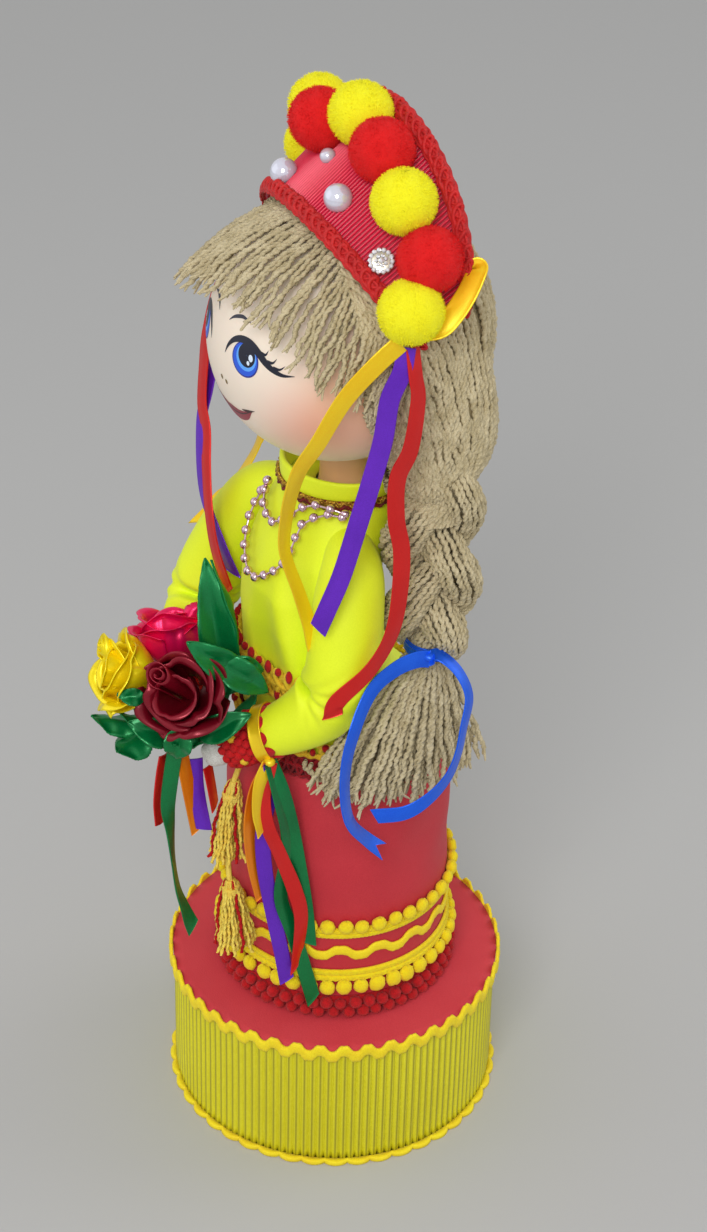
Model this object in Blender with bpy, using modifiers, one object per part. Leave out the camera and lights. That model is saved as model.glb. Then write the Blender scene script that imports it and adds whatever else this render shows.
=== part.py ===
"""A yarn doll in folk dress, standing on a round stand of foam and ribbed card.

Metres, +Z up. The origin is the centre of the underside of the stand, the doll faces -Y,
and its left hand is on +X. Run in Blender 4.5 with: blender --background --python part.py
"""
import math

import bmesh
import bpy
from mathutils import Matrix, Vector

# Clearance between pieces that touch, and where one swings past another, and the overrun of every cut
GAP = 0.0003
SWING_GAP = 0.0012
OVERRUN = 0.004
MERGE = 0.00005

# Facets round turned pieces, balls and tubes
WIDE_FACETS = 32
FACETS = 20
BALL_FACETS = 14
LEAF_FACETS = 8
SMALL_FACETS = 12
TUBE_RESOLUTION = 2

# Stand
STAND_RADIUS = 0.0560
STAND_HEIGHT = 0.0534
CARD_THICKNESS = 0.0016
TOP_SHEET_THICKNESS = 0.0012
STAND_TRIM_HEIGHT = 0.0056
STAND_TRIM_THICKNESS = 0.0009
STAND_TRIM_RISE = 0.0014
FOOT_TRIM_HEIGHT = 0.0034
FOOT_TRIM_THICKNESS = 0.0016

# Spine dowel
DOWEL_RADIUS = 0.0020
DOWEL_FOOT = 0.0060
DOWEL_IN_HEAD = 0.0240

# Skirt
SKIRT_RADIUS = 0.0388
SKIRT_THICKNESS = 0.0026
SKIRT_HEM_HEIGHT = 0.0040
SKIRT_HEIGHT = 0.0963
SKIRT_TOP_RADIUS = 0.0335
SKIRT_TURN = 0.0180
RED_TRIM_HEIGHT = 0.0080
RED_TRIM_DEPTH = 0.0046
YELLOW_TRIM_HEIGHT = 0.0088
YELLOW_TRIM_DEPTH = 0.0028
HEM_TRIM_RISE = 0.0106
RICRAC_RISE = 0.0246
RICRAC_HEIGHT = 0.0058
RICRAC_DEPTH = 0.0009
UPPER_TRIM_RISE = 0.0345
UPPER_TRIM_HEIGHT = 0.0082
UPPER_TRIM_DEPTH = 0.0022

# Belt and tassels
BELT_HEIGHT = 0.0090
BELT_THICKNESS = 0.0016
BELT_EASE = 0.0010
TASSEL_RADIUS = 0.0052
TASSEL_LENGTH = 0.0340
TASSEL_CORD_RADIUS = 0.0011
TASSEL_ASIDE = 0.0021
TASSEL_HOOK_SHARE = 0.75
# Tassels: across, out and down from the hook as shares of a tassel's length, and how full it is
TASSEL_SHARES = [(0.00, 0.00, 0.00, 0.0), (0.05, 0.12, 0.22, 0.0), (0.10, 0.20, 0.36, 0.5),
                 (0.13, 0.25, 0.60, 0.8), (0.16, 0.28, 0.90, 1.0), (0.19, 0.30, 1.10, 0.9),
                 (0.21, 0.31, 1.16, 0.0), (0.25, 0.32, 1.32, 0.0), (0.28, 0.32, 1.42, 0.5),
                 (0.31, 0.32, 1.60, 0.8), (0.34, 0.32, 1.90, 1.0), (0.36, 0.32, 2.15, 0.9)]

# Torso and blouse
BLOUSE_HEIGHT = 0.0870
CHEST_HALF_WIDTH = 0.0290
CHEST_HALF_DEPTH = 0.0205
CHEST_FORWARD = 0.0115
BLOUSE_THICKNESS = 0.0030
HEM_HALF_WIDTH = 0.0345
HEM_TRIM_HEIGHT = 0.0060
HEM_TRIM_THICKNESS = 0.0014
# Blouse sections: shares of the rise from waist to collar, half width, half depth, forward shift
TORSO_SHARES = [(0.00, 1.16, 1.56, 0.00), (0.07, 1.12, 1.46, 0.12), (0.14, 0.98, 1.22, 0.36),
                (0.24, 0.98, 1.12, 0.70), (0.36, 1.01, 1.08, 0.92), (0.50, 1.02, 1.05, 1.02),
                (0.64, 1.02, 1.02, 1.00), (0.78, 1.00, 0.92, 0.80), (0.90, 0.88, 0.92, 0.42),
                (0.97, 0.78, 0.98, 0.12), (1.00, 0.72, 1.02, 0.00)]

# Collar, its braid and the neck
COLLAR_RADIUS = 0.0205
COLLAR_THICKNESS = 0.0018
COLLAR_HEIGHT = 0.0092
COLLAR_BRAID_HEIGHT = 0.0036
COLLAR_BRAID_THICKNESS = 0.0017
NECK_RADIUS = 0.0084

# Head ball
HEAD_RADIUS = 0.0400
HEAD_FORWARD = 0.0043
CHIN_RISE = 0.0135

# Hair: how thick the crown lies on the ball, then the hairline and the two masses below the crown,
# whose places and half sizes are shares of the head's radius
HAIR_SIDE_THICKNESS = 0.0046
HAIR_BACK_THICKNESS = 0.0090
HAIR_TOP_THICKNESS = 0.0065
HAIR_BACK_SHIFT = 0.0020
HAIRLINE_SHARES = [(0.275, -0.9625), (-0.2125, -0.1375)]
NAPE_PLACE_SHARES = (0.0, 0.60, -0.65)
NAPE_HALF_SHARES = (0.80, 0.50, 0.725)
SIDE_PLACE_SHARES = (0.675, 0.50, -0.60)
SIDE_HALF_SHARES = (0.4125, 0.525, 0.675)
FRINGE_OFF_HEAD = 0.0034
FRINGE_THICKNESS = 0.0026
FRINGE_JUT = 0.0062
FRINGE_CELLS = 18
FRINGE_HALF_TURN = math.radians(74.0)
# The fringe's tips: degrees above the head's middle at the centre, and how far they fall at the sides
FRINGE_TIP_DEGREES = (31.0, 36.0)

# Braid: centre line, strands and tail
BRAID_PLACE_SHARES = (0.8375, 0.3375, -0.9625)
TIE_OUT = 0.0015
BRAID_LENGTH = 0.0635
BRAID_FACING = math.radians(62.0)
BRAID_SWAY = 0.0098
BRAID_DEPTH = 0.0056
STRAND_RADIUS = 0.0070
BRAID_PITCH = 0.0800
BRAID_POINTS = 24
BRAID_NECKING_SHARE = 0.42
BRAID_PHASE_SHARE = 0.10
TAIL_LENGTH = 0.0500
TAIL_HALF_WIDTH = 0.0330
TAIL_HALF_THICKNESS = 0.0085
TAIL_FLARE = 0.0170
TAIL_SWING = 0.0120
TAIL_WRAP = 0.0050
TIE_RADIUS = 0.0085
BOW_RIBBON_LENGTH = 0.0700
# The tail's sections down its length, its rounded foot, how far up its outer ends stop,
# how far it leans to the back, and its neck in the loop
TAIL_LEVEL_SHARES = [0.0, 0.12, 0.22, 0.34, 0.48, 0.64, 0.80, 0.93]
TAIL_ROUND_SHARE = 0.80
TAIL_RAGGED_SHARE = 0.20
TAIL_BACK_SHARE = -0.33
NECK_SHARE = 0.70
# The two ends of the blue ribbon: across, out and down, as shares of the ribbon's length
BOW_LEFT_SHARES = [(0.00, 0.112, 0.00), (-0.086, 0.249, 0.02), (-0.217, 0.367, 0.093), (-0.316, 0.427, 0.236),
                   (-0.374, 0.467, 0.436), (-0.361, 0.460, 0.607), (-0.256, 0.387, 0.757), (-0.206, 0.343, 0.914)]
BOW_RIGHT_SHARES = [(0.00, 0.112, 0.00), (0.10, 0.140, 0.03), (0.197, 0.200, 0.136), (0.204, 0.320, 0.40),
                    (0.10, 0.380, 0.60), (0.037, 0.390, 0.67), (-0.10, 0.420, 0.69), (-0.19, 0.440, 0.69)]

# Headdress: a ribbed card band on a cone that leans back
BAND_TILT = math.radians(32.0)
BAND_FRONT_OFF_HEAD = 0.0062
BAND_BACK_OFF_HEAD = 0.0108
BAND_THICKNESS = 0.0012
BAND_SETBACK = 0.0108
BAND_WIDTH = 0.0440
BAND_HALF_TURN = math.radians(75.0)
BAND_TAPER_SHARE = 0.6
BAND_CELLS = 26
BAND_ENDS_SHARE = 0.36
GIMP_WIDTH = 0.0046
GIMP_THICKNESS = 0.0020
GIMP_OVERHANG_SHARE = 0.2
POMPOM_RADIUS = 0.0101
POMPOM_PROUD = 0.0055
POMPOM_TURNS = [math.radians(a) for a in (61.9, 53.7, 35.5, 17.9, 0.0)]
POMPOM_SETBACK_SHARES = [0.334, 0.648, 0.768, 0.898, 0.990]
# Where each pompom sits on the far side, which was glued a little unevenly
POMPOM_FAR_TURNS = [math.radians(a) for a in (66.0, 48.0, 31.0, 14.0, 0.0)]
POMPOM_FAR_SHARES = [0.818, 0.955, 0.909, 0.795, 0.990]

# Satin ribbons
RIBBON_WIDTH = 0.0060
RIBBON_THICKNESS = 0.0007
RIBBON_POINTS = 15
SHORT_RIBBON_POINTS = 8
TEMPLE_DROP_SHARE = 2.5
GOLD = (0.85, 0.48, 0.01)
PURPLE = (0.08, 0.01, 0.28)
SCARLET = (0.62, 0.015, 0.012)
GREEN = (0.0, 0.12, 0.05)
ORANGE = (0.85, 0.22, 0.01)
# Each ribbon's colour, the way its flat side faces, and its route as shares of the drop from the head
TEMPLE_RIBBON_SHARES = [
    ("left_ribbon_yellow", GOLD, (0.88, -0.47, 0.0),
     [(0.456, 0.043, 0.124), (0.462, -0.060, 0.100), (0.452, -0.150, 0.050), (0.425, -0.235, -0.040),
      (0.390, -0.300, -0.170), (0.365, -0.335, -0.340), (0.350, -0.345, -0.500), (0.345, -0.300, -0.680),
      (0.345, -0.275, -0.810)]),
    ("left_ribbon_purple", PURPLE, (0.88, -0.47, 0.0),
     [(0.470, 0.060, 0.134), (0.488, 0.010, 0.090), (0.490, -0.030, 0.020), (0.486, -0.080, -0.120),
      (0.468, -0.140, -0.355), (0.462, -0.217, -0.595), (0.462, -0.270, -0.795)]),
    ("left_ribbon_red", SCARLET, (0.88, -0.47, 0.0),
     [(0.484, 0.080, 0.146), (0.520, 0.040, 0.080), (0.525, -0.005, -0.055), (0.515, -0.040, -0.255),
      (0.525, -0.012, -0.545), (0.520, -0.042, -0.835), (0.520, -0.147, -0.995), (0.505, -0.222, -1.065)]),
    ("right_ribbon_red", SCARLET, (0.70, -0.70, 0.0),
     [(-0.456, 0.043, 0.125), (-0.470, -0.05, 0.080), (-0.470, -0.15, -0.020), (-0.450, -0.235, -0.185),
      (-0.410, -0.280, -0.385), (-0.330, -0.300, -0.520), (-0.240, -0.320, -0.780), (-0.200, -0.300, -0.985)]),
    ("right_ribbon_purple", PURPLE, (0.70, -0.70, 0.0),
     [(-0.469, 0.060, 0.134), (-0.495, 0.00, 0.080), (-0.500, -0.13, -0.020), (-0.490, -0.245, -0.230),
      (-0.450, -0.320, -0.500), (-0.350, -0.360, -0.680), (-0.255, -0.375, -0.830), (-0.215, -0.350, -0.990)]),
    ("right_ribbon_yellow", GOLD, (0.88, -0.47, 0.0),
     [(-0.481, 0.077, 0.144), (-0.520, 0.040, 0.080), (-0.525, -0.02, -0.070), (-0.515, -0.060, -0.380),
      (-0.510, -0.095, -0.600), (-0.470, -0.250, -0.720), (-0.420, -0.355, -0.815)]),
]

# Arms: routes are shares of the arm's length, from the middle of the shoulders
SHOULDER_DROP = 0.0070
ARM_SHARE = 1.25
SLEEVE_RADIUS = 0.0122
CUFF_RADIUS = 0.0088
CUFF_WALL = 0.0036
CUFF_LENGTH = 0.0120
HAND_RADIUS = 0.0052
# The arms: routes and radii as shares, down from the shoulders to the wrist, then the fingers
LEFT_ARM_SHARES = [(0.16, -0.075, -0.02), (0.275, -0.115, -0.09), (0.322, -0.150, -0.22), (0.342, -0.170, -0.36),
                   (0.345, -0.190, -0.46), (0.325, -0.230, -0.545), (0.285, -0.285, -0.61),
                   (0.240, -0.340, -0.66), (0.205, -0.374, -0.688)]
LEFT_HAND_SHARES = [(0.095, -0.495, -0.795), (0.060, -0.535, -0.805)]
RIGHT_ARM_SHARES = [(-0.16, -0.080, -0.02), (-0.290, -0.150, -0.10), (-0.345, -0.220, -0.24),
                    (-0.365, -0.285, -0.38), (-0.355, -0.345, -0.49), (-0.310, -0.400, -0.575),
                    (-0.245, -0.448, -0.64), (-0.190, -0.480, -0.685)]
RIGHT_HAND_SHARES = [(-0.065, -0.570, -0.785), (-0.040, -0.595, -0.790)]
CUFF_SWELL_SHARE = 1.08
HAND_TAPER_SHARES = [0.98, 1.02, 1.04, 1.0, 0.86, 0.5]
ARM_RADIUS_SHARES = [0.60, 0.92, 0.99, 1.00, 0.99, 0.92, 0.82, 0.74, 0.68]

# Bouquet
ROSE_RADIUS = 0.0142
SMALL_ROSE_RADIUS = 0.0128
LEAF_LENGTH = 0.0260
LEAF_WIDTH = 0.0150
LEAF_THICKNESS = 0.0016
BOUQUET_REACH_SHARE = 0.60
BOUQUET_DROP_SHARE = 0.53
BOUQUET_RIBBON_LENGTH = 0.1060
RIBBON_CLEAR = 0.0023
KNOT_HALF_HEIGHT = 0.0070
# Petals stand out from the bud, and the bud is a little flat, as shares of its radius
ROSE_PETAL_SHARE = 0.05
ROSE_HEIGHT_SHARE = 0.92
# The roses: places from the bouquet's heart as shares of the big rose
BURGUNDY_SHARES = (0.84, -0.16, 0.06)
YELLOW_SHARES = (-0.34, -1.10, 0.08)
PINK_SHARES = (-1.06, 0.30, 0.34)
# The cup of leaves under the roses: how far down, and half how deep
CUP_DROP_SHARE = 1.24
CUP_DEPTH_SHARE = 0.36
CUP_WIDE_SHARE = 1.36
CUP_LONG_SHARE = 1.24
# Leaves: root and tip from the bouquet's heart as shares of the big rose, and a share of the leaf's width
LEAF_SHARES = [((0.20, 0.95, -1.10), (-0.38, 1.02, 2.62), 1.0), ((0.50, 0.75, -1.15), (0.52, 1.78, -0.45), 1.0),
               ((0.70, 0.10, -1.20), (1.50, 0.75, -1.00), 0.9), ((-0.10, -0.70, -1.25), (0.20, -1.62, -1.45), 1.0),
               ((-0.40, -0.60, -1.25), (-0.70, -1.85, -0.95), 0.8), ((-0.90, 0.20, -1.20), (-1.75, 0.55, -0.80), 0.9)]
# The knot at the left wrist, as shares of the arm and of the ribbon
WRIST_KNOT_SHARES = (0.262, -0.458, -0.780)
WRIST_KNOT_WIDE_SHARE = 0.4
WRIST_KNOT_TALL_SHARE = 0.5
# Ribbons of the two bunches: colour, and route from the knot as shares of their length
BOUQUET_STRIP_SHARES = [
    (GREEN, [(0.0, -0.01, 0.0), (0.004, -0.025, -0.20), (0.0, -0.010, -0.45), (0.002, 0.020, -0.70)]),
    (SCARLET, [(0.0, -0.05, 0.0), (-0.010, -0.085, -0.15), (-0.012, -0.090, -0.33)]),
    (ORANGE, [(0.0, 0.01, 0.0), (0.014, 0.045, -0.15), (0.020, 0.055, -0.33)]),
    (PURPLE, [(0.0, 0.04, 0.0), (-0.012, 0.075, -0.15), (-0.018, 0.075, -0.37)]),
]
WRIST_STRIP_SHARES = [
    (SCARLET, [(0.0, 0.0, 0.0), (0.035, 0.010, -0.20), (0.050, 0.050, -0.47), (0.080, 0.090, -0.86)]),
    (GOLD, [(0.0, 0.0, 0.0), (-0.020, 0.000, -0.18), (-0.035, 0.005, -0.40), (-0.020, 0.015, -0.68)]),
    (PURPLE, [(0.0, 0.0, 0.0), (0.015, 0.030, -0.22), (0.020, 0.060, -0.52), (0.045, 0.090, -0.92)]),
    (GREEN, [(0.0, 0.0, 0.0), (0.075, 0.060, -0.20), (0.120, 0.130, -0.55), (0.130, 0.175, -0.98)]),
]

# Necklace
BEAD_RADIUS = 0.0016
BEAD_PITCH = 0.0047
THREAD_SHARE = 0.40
STRING_POINTS = 80
# Bead strings: the turn as a share of a half round, and the rise as a share from waist to collar
LONG_STRING_SHARES = [(0.26, 0.925), (0.20, 0.86), (0.13, 0.76), (0.05, 0.66), (-0.04, 0.62), (-0.13, 0.66),
                      (-0.19, 0.76), (-0.22, 0.86), (-0.23, 0.925)]
SHORT_STRING_SHARES = [(0.27, 0.99), (0.18, 0.955), (0.10, 0.915), (0.00, 0.88), (-0.10, 0.90), (-0.18, 0.955),
                       (-0.23, 0.985)]

# Heights, each from the piece below it
DECK = STAND_HEIGHT + GAP
SKIRT_TOP_HEIGHT = DECK + SKIRT_HEIGHT
WAIST_HEIGHT = SKIRT_TOP_HEIGHT + BELT_HEIGHT + BELT_EASE
COLLAR_BASE_HEIGHT = WAIST_HEIGHT + BLOUSE_HEIGHT
SHOULDER_HEIGHT = COLLAR_BASE_HEIGHT - SHOULDER_DROP
HEAD_HEIGHT = COLLAR_BASE_HEIGHT + CHIN_RISE + HEAD_RADIUS

# The arms reach from the shoulders past the waist, and hold the bouquet before it
ARM_LENGTH = (SHOULDER_HEIGHT - WAIST_HEIGHT) * ARM_SHARE
BOUQUET_REACH = ARM_LENGTH * BOUQUET_REACH_SHARE
BOUQUET_HEIGHT = SHOULDER_HEIGHT - ARM_LENGTH * BOUQUET_DROP_SHARE

# What lies on the head follows its radius
HEAD = Vector((0.0, -HEAD_FORWARD, HEAD_HEIGHT))
HAIR_HALF_SIZES = (HEAD_RADIUS + HAIR_SIDE_THICKNESS, HEAD_RADIUS + HAIR_BACK_THICKNESS,
                   HEAD_RADIUS + HAIR_TOP_THICKNESS)
FRINGE_RADIUS = HEAD_RADIUS + FRINGE_OFF_HEAD
BAND_FRONT_RADIUS = HEAD_RADIUS + BAND_FRONT_OFF_HEAD
BAND_BACK_RADIUS = HEAD_RADIUS + BAND_BACK_OFF_HEAD
TEMPLE_DROP = HEAD_RADIUS * TEMPLE_DROP_SHARE
BRAID_TOP = Vector((0.0, 0.0, HEAD_HEIGHT)) + Vector(BRAID_PLACE_SHARES) * HEAD_RADIUS
BRAID_TIE = BRAID_TOP + Vector((TIE_OUT, 0.0, -BRAID_LENGTH))
UP = Vector((0.0, 0.0, 1.0))


def clear_scene():
    """Start from an empty scene."""
    for item in list(bpy.data.objects):
        bpy.data.objects.remove(item, do_unlink=True)


def new_collection(name):
    """A collection linked to the scene."""
    found = bpy.data.collections.new(name)
    bpy.context.scene.collection.children.link(found)
    return found


def finish_of(name, colour, roughness, metallic):
    """A plain Principled material for one piece."""
    made = bpy.data.materials.new(name)
    made.use_nodes = True
    shader = made.node_tree.nodes["Principled BSDF"]
    shader.inputs["Base Color"].default_value = (*colour, 1.0)
    shader.inputs["Roughness"].default_value = roughness
    shader.inputs["Metallic"].default_value = metallic
    return made


def add_piece(name, mesh, look, cutter=False):
    """Put a mesh in the doll's collection, or among the cutters."""
    piece = bpy.data.objects.new(name, mesh)
    (CUTTERS if cutter else DOLL).objects.link(piece)
    if cutter:
        piece.hide_render = True
        piece.display_type = "WIRE"
    else:
        mesh.materials.clear()
        mesh.materials.append(finish_of(name, *look))
        mesh.shade_smooth()
        mesh.set_sharp_from_angle(angle=math.radians(40.0))
    return piece


def turned(name, profile, look, facets=FACETS, closed=False, cutter=False):
    """Turn a profile of (radius, height) pairs about Z; it runs top to bottom on its outer side."""
    mesh = bpy.data.meshes.new(name)
    edges = [(i, i + 1) for i in range(len(profile) - 1)]
    if closed:
        edges.append((len(profile) - 1, 0))
    mesh.from_pydata([(radius, 0.0, height) for radius, height in profile], edges, [])
    piece = add_piece(name, mesh, look, cutter)
    screw = piece.modifiers.new("turn", "SCREW")
    screw.angle = math.tau
    screw.steps = facets
    screw.render_steps = facets
    screw.use_merge_vertices = True
    screw.merge_threshold = MERGE
    return piece


def ring(name, inner, outer, low, high, look, facets=WIDE_FACETS):
    """A plain turned ring."""
    profile = [(outer, high), (outer, low), (inner, low), (inner, high)]
    return turned(name, profile, look, facets, closed=True)


def baked(piece):
    """Replace a piece's modifiers by the mesh that they make."""
    bpy.context.view_layer.update()
    graph = bpy.context.evaluated_depsgraph_get()
    mesh = bpy.data.meshes.new_from_object(piece.evaluated_get(graph))
    piece.modifiers.clear()
    piece.data = mesh
    return piece


def ball(name, centre, radii, look, facets=FACETS, turn=0.0, cutter=False):
    """A ball or an egg shape with half sizes along X, Y and Z, turned about Z."""
    mesh = bpy.data.meshes.new(name)
    cage = bmesh.new()
    bmesh.ops.create_uvsphere(cage, u_segments=facets, v_segments=max(facets // 2, 6), radius=1.0)
    place = Matrix.Translation(centre) @ Matrix.Rotation(turn, 4, "Z") @ Matrix.Diagonal((*radii, 1.0))
    bmesh.ops.transform(cage, matrix=place, verts=cage.verts)
    cage.to_mesh(mesh)
    cage.free()
    return add_piece(name, mesh, look, cutter)


def smooth_route(points, count):
    """Points evenly spaced in parameter on a Catmull-Rom curve through the given ones."""
    ends = [points[0] * 2.0 - points[1]] + list(points) + [points[-1] * 2.0 - points[-2]]
    route = []
    for step in range(count):
        place = step / (count - 1) * (len(points) - 1)
        i = min(int(place), len(points) - 2)
        t = place - i
        a, b, c, d = ends[i:i + 4]
        bend = (a * -1.0 + b * 3.0 - c * 3.0 + d) * t ** 3 + (a * 2.0 - b * 5.0 + c * 4.0 - d) * t ** 2
        route.append((bend + (c - a) * t + b * 2.0) * 0.5)
    return route


def tube(name, route, radii, look, resolution=TUBE_RESOLUTION, cutter=False):
    """A round bar along a route, with one radius for each point, as a closed mesh."""
    line = bpy.data.curves.new(name, "CURVE")
    line.dimensions = "3D"
    line.bevel_depth = max(radii)
    line.bevel_resolution = resolution
    line.use_fill_caps = True
    spline = line.splines.new("POLY")
    spline.points.add(len(route) - 1)
    for point, place, radius in zip(spline.points, route, radii):
        point.co = (*place, 1.0)
        point.radius = radius / line.bevel_depth
    guide = bpy.data.objects.new(name + "_line", line)
    DOLL.objects.link(guide)
    bpy.context.view_layer.update()
    graph = bpy.context.evaluated_depsgraph_get()
    mesh = bpy.data.meshes.new_from_object(guide.evaluated_get(graph))
    bpy.data.objects.remove(guide)
    bpy.data.curves.remove(line)
    cage = bmesh.new()
    cage.from_mesh(mesh)
    bmesh.ops.remove_doubles(cage, verts=cage.verts, dist=MERGE)
    cage.to_mesh(mesh)
    cage.free()
    return add_piece(name, mesh, look, cutter)


def panel(name, place_at, cells_u, cells_v, thickness, look, offset=0.0, cutter=False):
    """A thin sheet: a grid laid by a function of two shares, thickened by Solidify."""
    mesh = bpy.data.meshes.new(name)
    cage = bmesh.new()
    bmesh.ops.create_grid(cage, x_segments=cells_u, y_segments=cells_v, size=1.0)
    for vert in cage.verts:
        vert.co = place_at((vert.co.x + 1.0) / 2.0, (vert.co.y + 1.0) / 2.0)
    bmesh.ops.recalc_face_normals(cage, faces=cage.faces)
    cage.to_mesh(mesh)
    cage.free()
    piece = add_piece(name, mesh, look, cutter)
    shell = piece.modifiers.new("thickness", "SOLIDIFY")
    shell.thickness = thickness
    shell.offset = offset
    return piece


def ribbon(name, points, facing, look, width=RIBBON_WIDTH, count=RIBBON_POINTS):
    """A flat satin strip along a route, its flat side turned towards a direction."""
    route = smooth_route(points, count)

    def place_at(share_across, share_along):
        i = min(int(round(share_along * (count - 1))), count - 1)
        run = route[min(i + 1, count - 1)] - route[max(i - 1, 0)]
        across = run.cross(facing).normalized()
        return route[i] + across * (share_across - 0.5) * width

    return panel(name, place_at, 1, count - 1, RIBBON_THICKNESS, look)


def cut(piece, *cutters):
    """Take cutters out of a piece."""
    for tool in cutters:
        step = piece.modifiers.new("cut_" + tool.name, "BOOLEAN")
        step.operation = "DIFFERENCE"
        step.solver = "EXACT"
        step.object = tool
    return piece


def join(piece, *others):
    """Fuse other solids into a piece."""
    for tool in others:
        step = piece.modifiers.new("join_" + tool.name, "BOOLEAN")
        step.operation = "UNION"
        step.solver = "EXACT"
        step.object = tool
    return piece


def shares_to_places(origin, size, shares):
    """Places given as shares of one size from an origin."""
    return [origin + Vector(share) * size for share in shares]


def build_stand():
    """Foam disc with a bore for the dowel, ribbed card wall, cloth top and two wavy trims."""
    bore = DOWEL_RADIUS + GAP
    foam_top = STAND_HEIGHT - TOP_SHEET_THICKNESS - GAP
    foam = [(0.0, DOWEL_FOOT - GAP), (bore, DOWEL_FOOT - GAP), (bore, foam_top)]
    foam += [(STAND_RADIUS, foam_top), (STAND_RADIUS, 0.0), (0.0, 0.0)]
    turned("stand_foam", foam, ((0.80, 0.80, 0.78), 0.9, 0.0), WIDE_FACETS)
    wall = STAND_RADIUS + GAP
    ring("stand_card_wall", wall, wall + CARD_THICKNESS, 0.0, STAND_HEIGHT, ((0.45, 0.50, 0.01), 0.6, 0.0))
    ring("stand_top_sheet", bore, STAND_RADIUS, STAND_HEIGHT - TOP_SHEET_THICKNESS, STAND_HEIGHT,
         ((0.55, 0.03, 0.06), 0.8, 0.0))
    trim = wall + CARD_THICKNESS + GAP
    trim_top = STAND_HEIGHT + STAND_TRIM_RISE
    ring("stand_top_trim", trim, trim + STAND_TRIM_THICKNESS, trim_top - STAND_TRIM_HEIGHT, trim_top,
         ((0.90, 0.62, 0.01), 0.7, 0.0))
    ring("stand_foot_trim", trim, trim + FOOT_TRIM_THICKNESS, 0.0, FOOT_TRIM_HEIGHT,
         ((0.90, 0.62, 0.01), 0.7, 0.0))


def build_spine():
    """Wooden dowel from the stand's foam up into the head."""
    top = HEAD_HEIGHT - HEAD_RADIUS + DOWEL_IN_HEAD
    turned("spine_dowel", [(0.0, top), (DOWEL_RADIUS, top), (DOWEL_RADIUS, DOWEL_FOOT), (0.0, DOWEL_FOOT)],
           ((0.62, 0.42, 0.22), 0.6, 0.0), SMALL_FACETS)


def skirt_profile(inset, low):
    """The skirt's side from the waist down, drawn in by an inset."""
    turn = SKIRT_TOP_HEIGHT - SKIRT_TURN
    return [(SKIRT_TOP_RADIUS - inset, SKIRT_TOP_HEIGHT), (SKIRT_RADIUS - SKIRT_THICKNESS / 3.0 - inset, turn),
            (SKIRT_RADIUS - inset, (low + turn) / 2.0), (SKIRT_RADIUS - inset, low)]


def build_skirt():
    """Foam core, cloth skirt and its four rows of trim."""
    bore = DOWEL_RADIUS + GAP
    hem = DECK + SKIRT_HEM_HEIGHT
    core = skirt_profile(SKIRT_THICKNESS + GAP, DECK)
    core = [(bore, SKIRT_TOP_HEIGHT)] + core + [(bore, DECK)]
    turned("skirt_core", core, ((0.80, 0.80, 0.78), 0.9, 0.0), FACETS, closed=True)
    skirt = skirt_profile(0.0, hem) + list(reversed(skirt_profile(SKIRT_THICKNESS, hem)))
    turned("skirt", skirt, ((0.42, 0.015, 0.04), 0.85, 0.0), WIDE_FACETS, closed=True)
    rest = SKIRT_RADIUS + GAP
    yellow = ((0.90, 0.72, 0.01), 0.8, 0.0)
    red = ((0.42, 0.01, 0.03), 0.85, 0.0)
    ring("hem_red_trim", rest, rest + RED_TRIM_DEPTH, DECK, DECK + RED_TRIM_HEIGHT, red)
    rows = [("hem_yellow_trim", HEM_TRIM_RISE, YELLOW_TRIM_HEIGHT, YELLOW_TRIM_DEPTH),
            ("skirt_ricrac", RICRAC_RISE, RICRAC_HEIGHT, RICRAC_DEPTH),
            ("upper_yellow_trim", UPPER_TRIM_RISE, UPPER_TRIM_HEIGHT, UPPER_TRIM_DEPTH)]
    for name, rise, height, depth in rows:
        ring(name, rest, rest + depth, DECK + rise, DECK + rise + height, yellow)


def torso_section(height):
    """Half width, half depth and centre of the blouse at a height."""
    rise = (height - WAIST_HEIGHT) / BLOUSE_HEIGHT
    for low, high in zip(TORSO_SHARES, TORSO_SHARES[1:]):
        if rise <= high[0] or high is TORSO_SHARES[-1]:
            t = (rise - low[0]) / (high[0] - low[0])
            wide, deep, forward = (a + (b - a) * t for a, b in zip(low[1:], high[1:]))
            return wide * CHEST_HALF_WIDTH, deep * CHEST_HALF_DEPTH, forward * CHEST_FORWARD


def torso(name, inset, low, look, cutter=False):
    """The torso's egg-shaped column, drawn in by an inset (or grown, where it is negative)."""
    top = COLLAR_BASE_HEIGHT - inset
    heights = [WAIST_HEIGHT + share[0] * (top - WAIST_HEIGHT) for share in TORSO_SHARES]
    heights[0] = low
    profile = [(0.0, top)] + [(1.0, height) for height in reversed(heights)] + [(0.0, low)]
    piece = baked(turned(name, profile, look, FACETS, cutter=cutter))
    for vert in piece.data.vertices:
        rise = (vert.co.z - WAIST_HEIGHT) / (top - WAIST_HEIGHT)
        wide, deep, forward = torso_section(WAIST_HEIGHT + max(rise, 0.0) * BLOUSE_HEIGHT)
        vert.co.x = vert.co.x * (wide - inset)
        vert.co.y = vert.co.y * (deep - inset) - forward
    return piece


def hem_room(name, clear):
    """Room round the belt and the hem trim for what hangs or leans over them."""
    out = HEM_HALF_WIDTH + HEM_TRIM_THICKNESS + clear
    top = WAIST_HEIGHT + HEM_TRIM_HEIGHT + clear
    return turned(name, [(0.0, top), (out, top), (out, SKIRT_TOP_HEIGHT), (0.0, SKIRT_TOP_HEIGHT)], None,
                  WIDE_FACETS, cutter=True)


def collar_room():
    """Room round the collar and its braid for the hair above and beside them."""
    out = COLLAR_RADIUS + COLLAR_BRAID_THICKNESS + GAP * 2.0
    top = COLLAR_BASE_HEIGHT + COLLAR_HEIGHT + GAP * 2.0
    low = COLLAR_BASE_HEIGHT - OVERRUN
    return turned("collar_room", [(0.0, top), (out, top), (out, low), (0.0, low)], None, FACETS, cutter=True)


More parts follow.
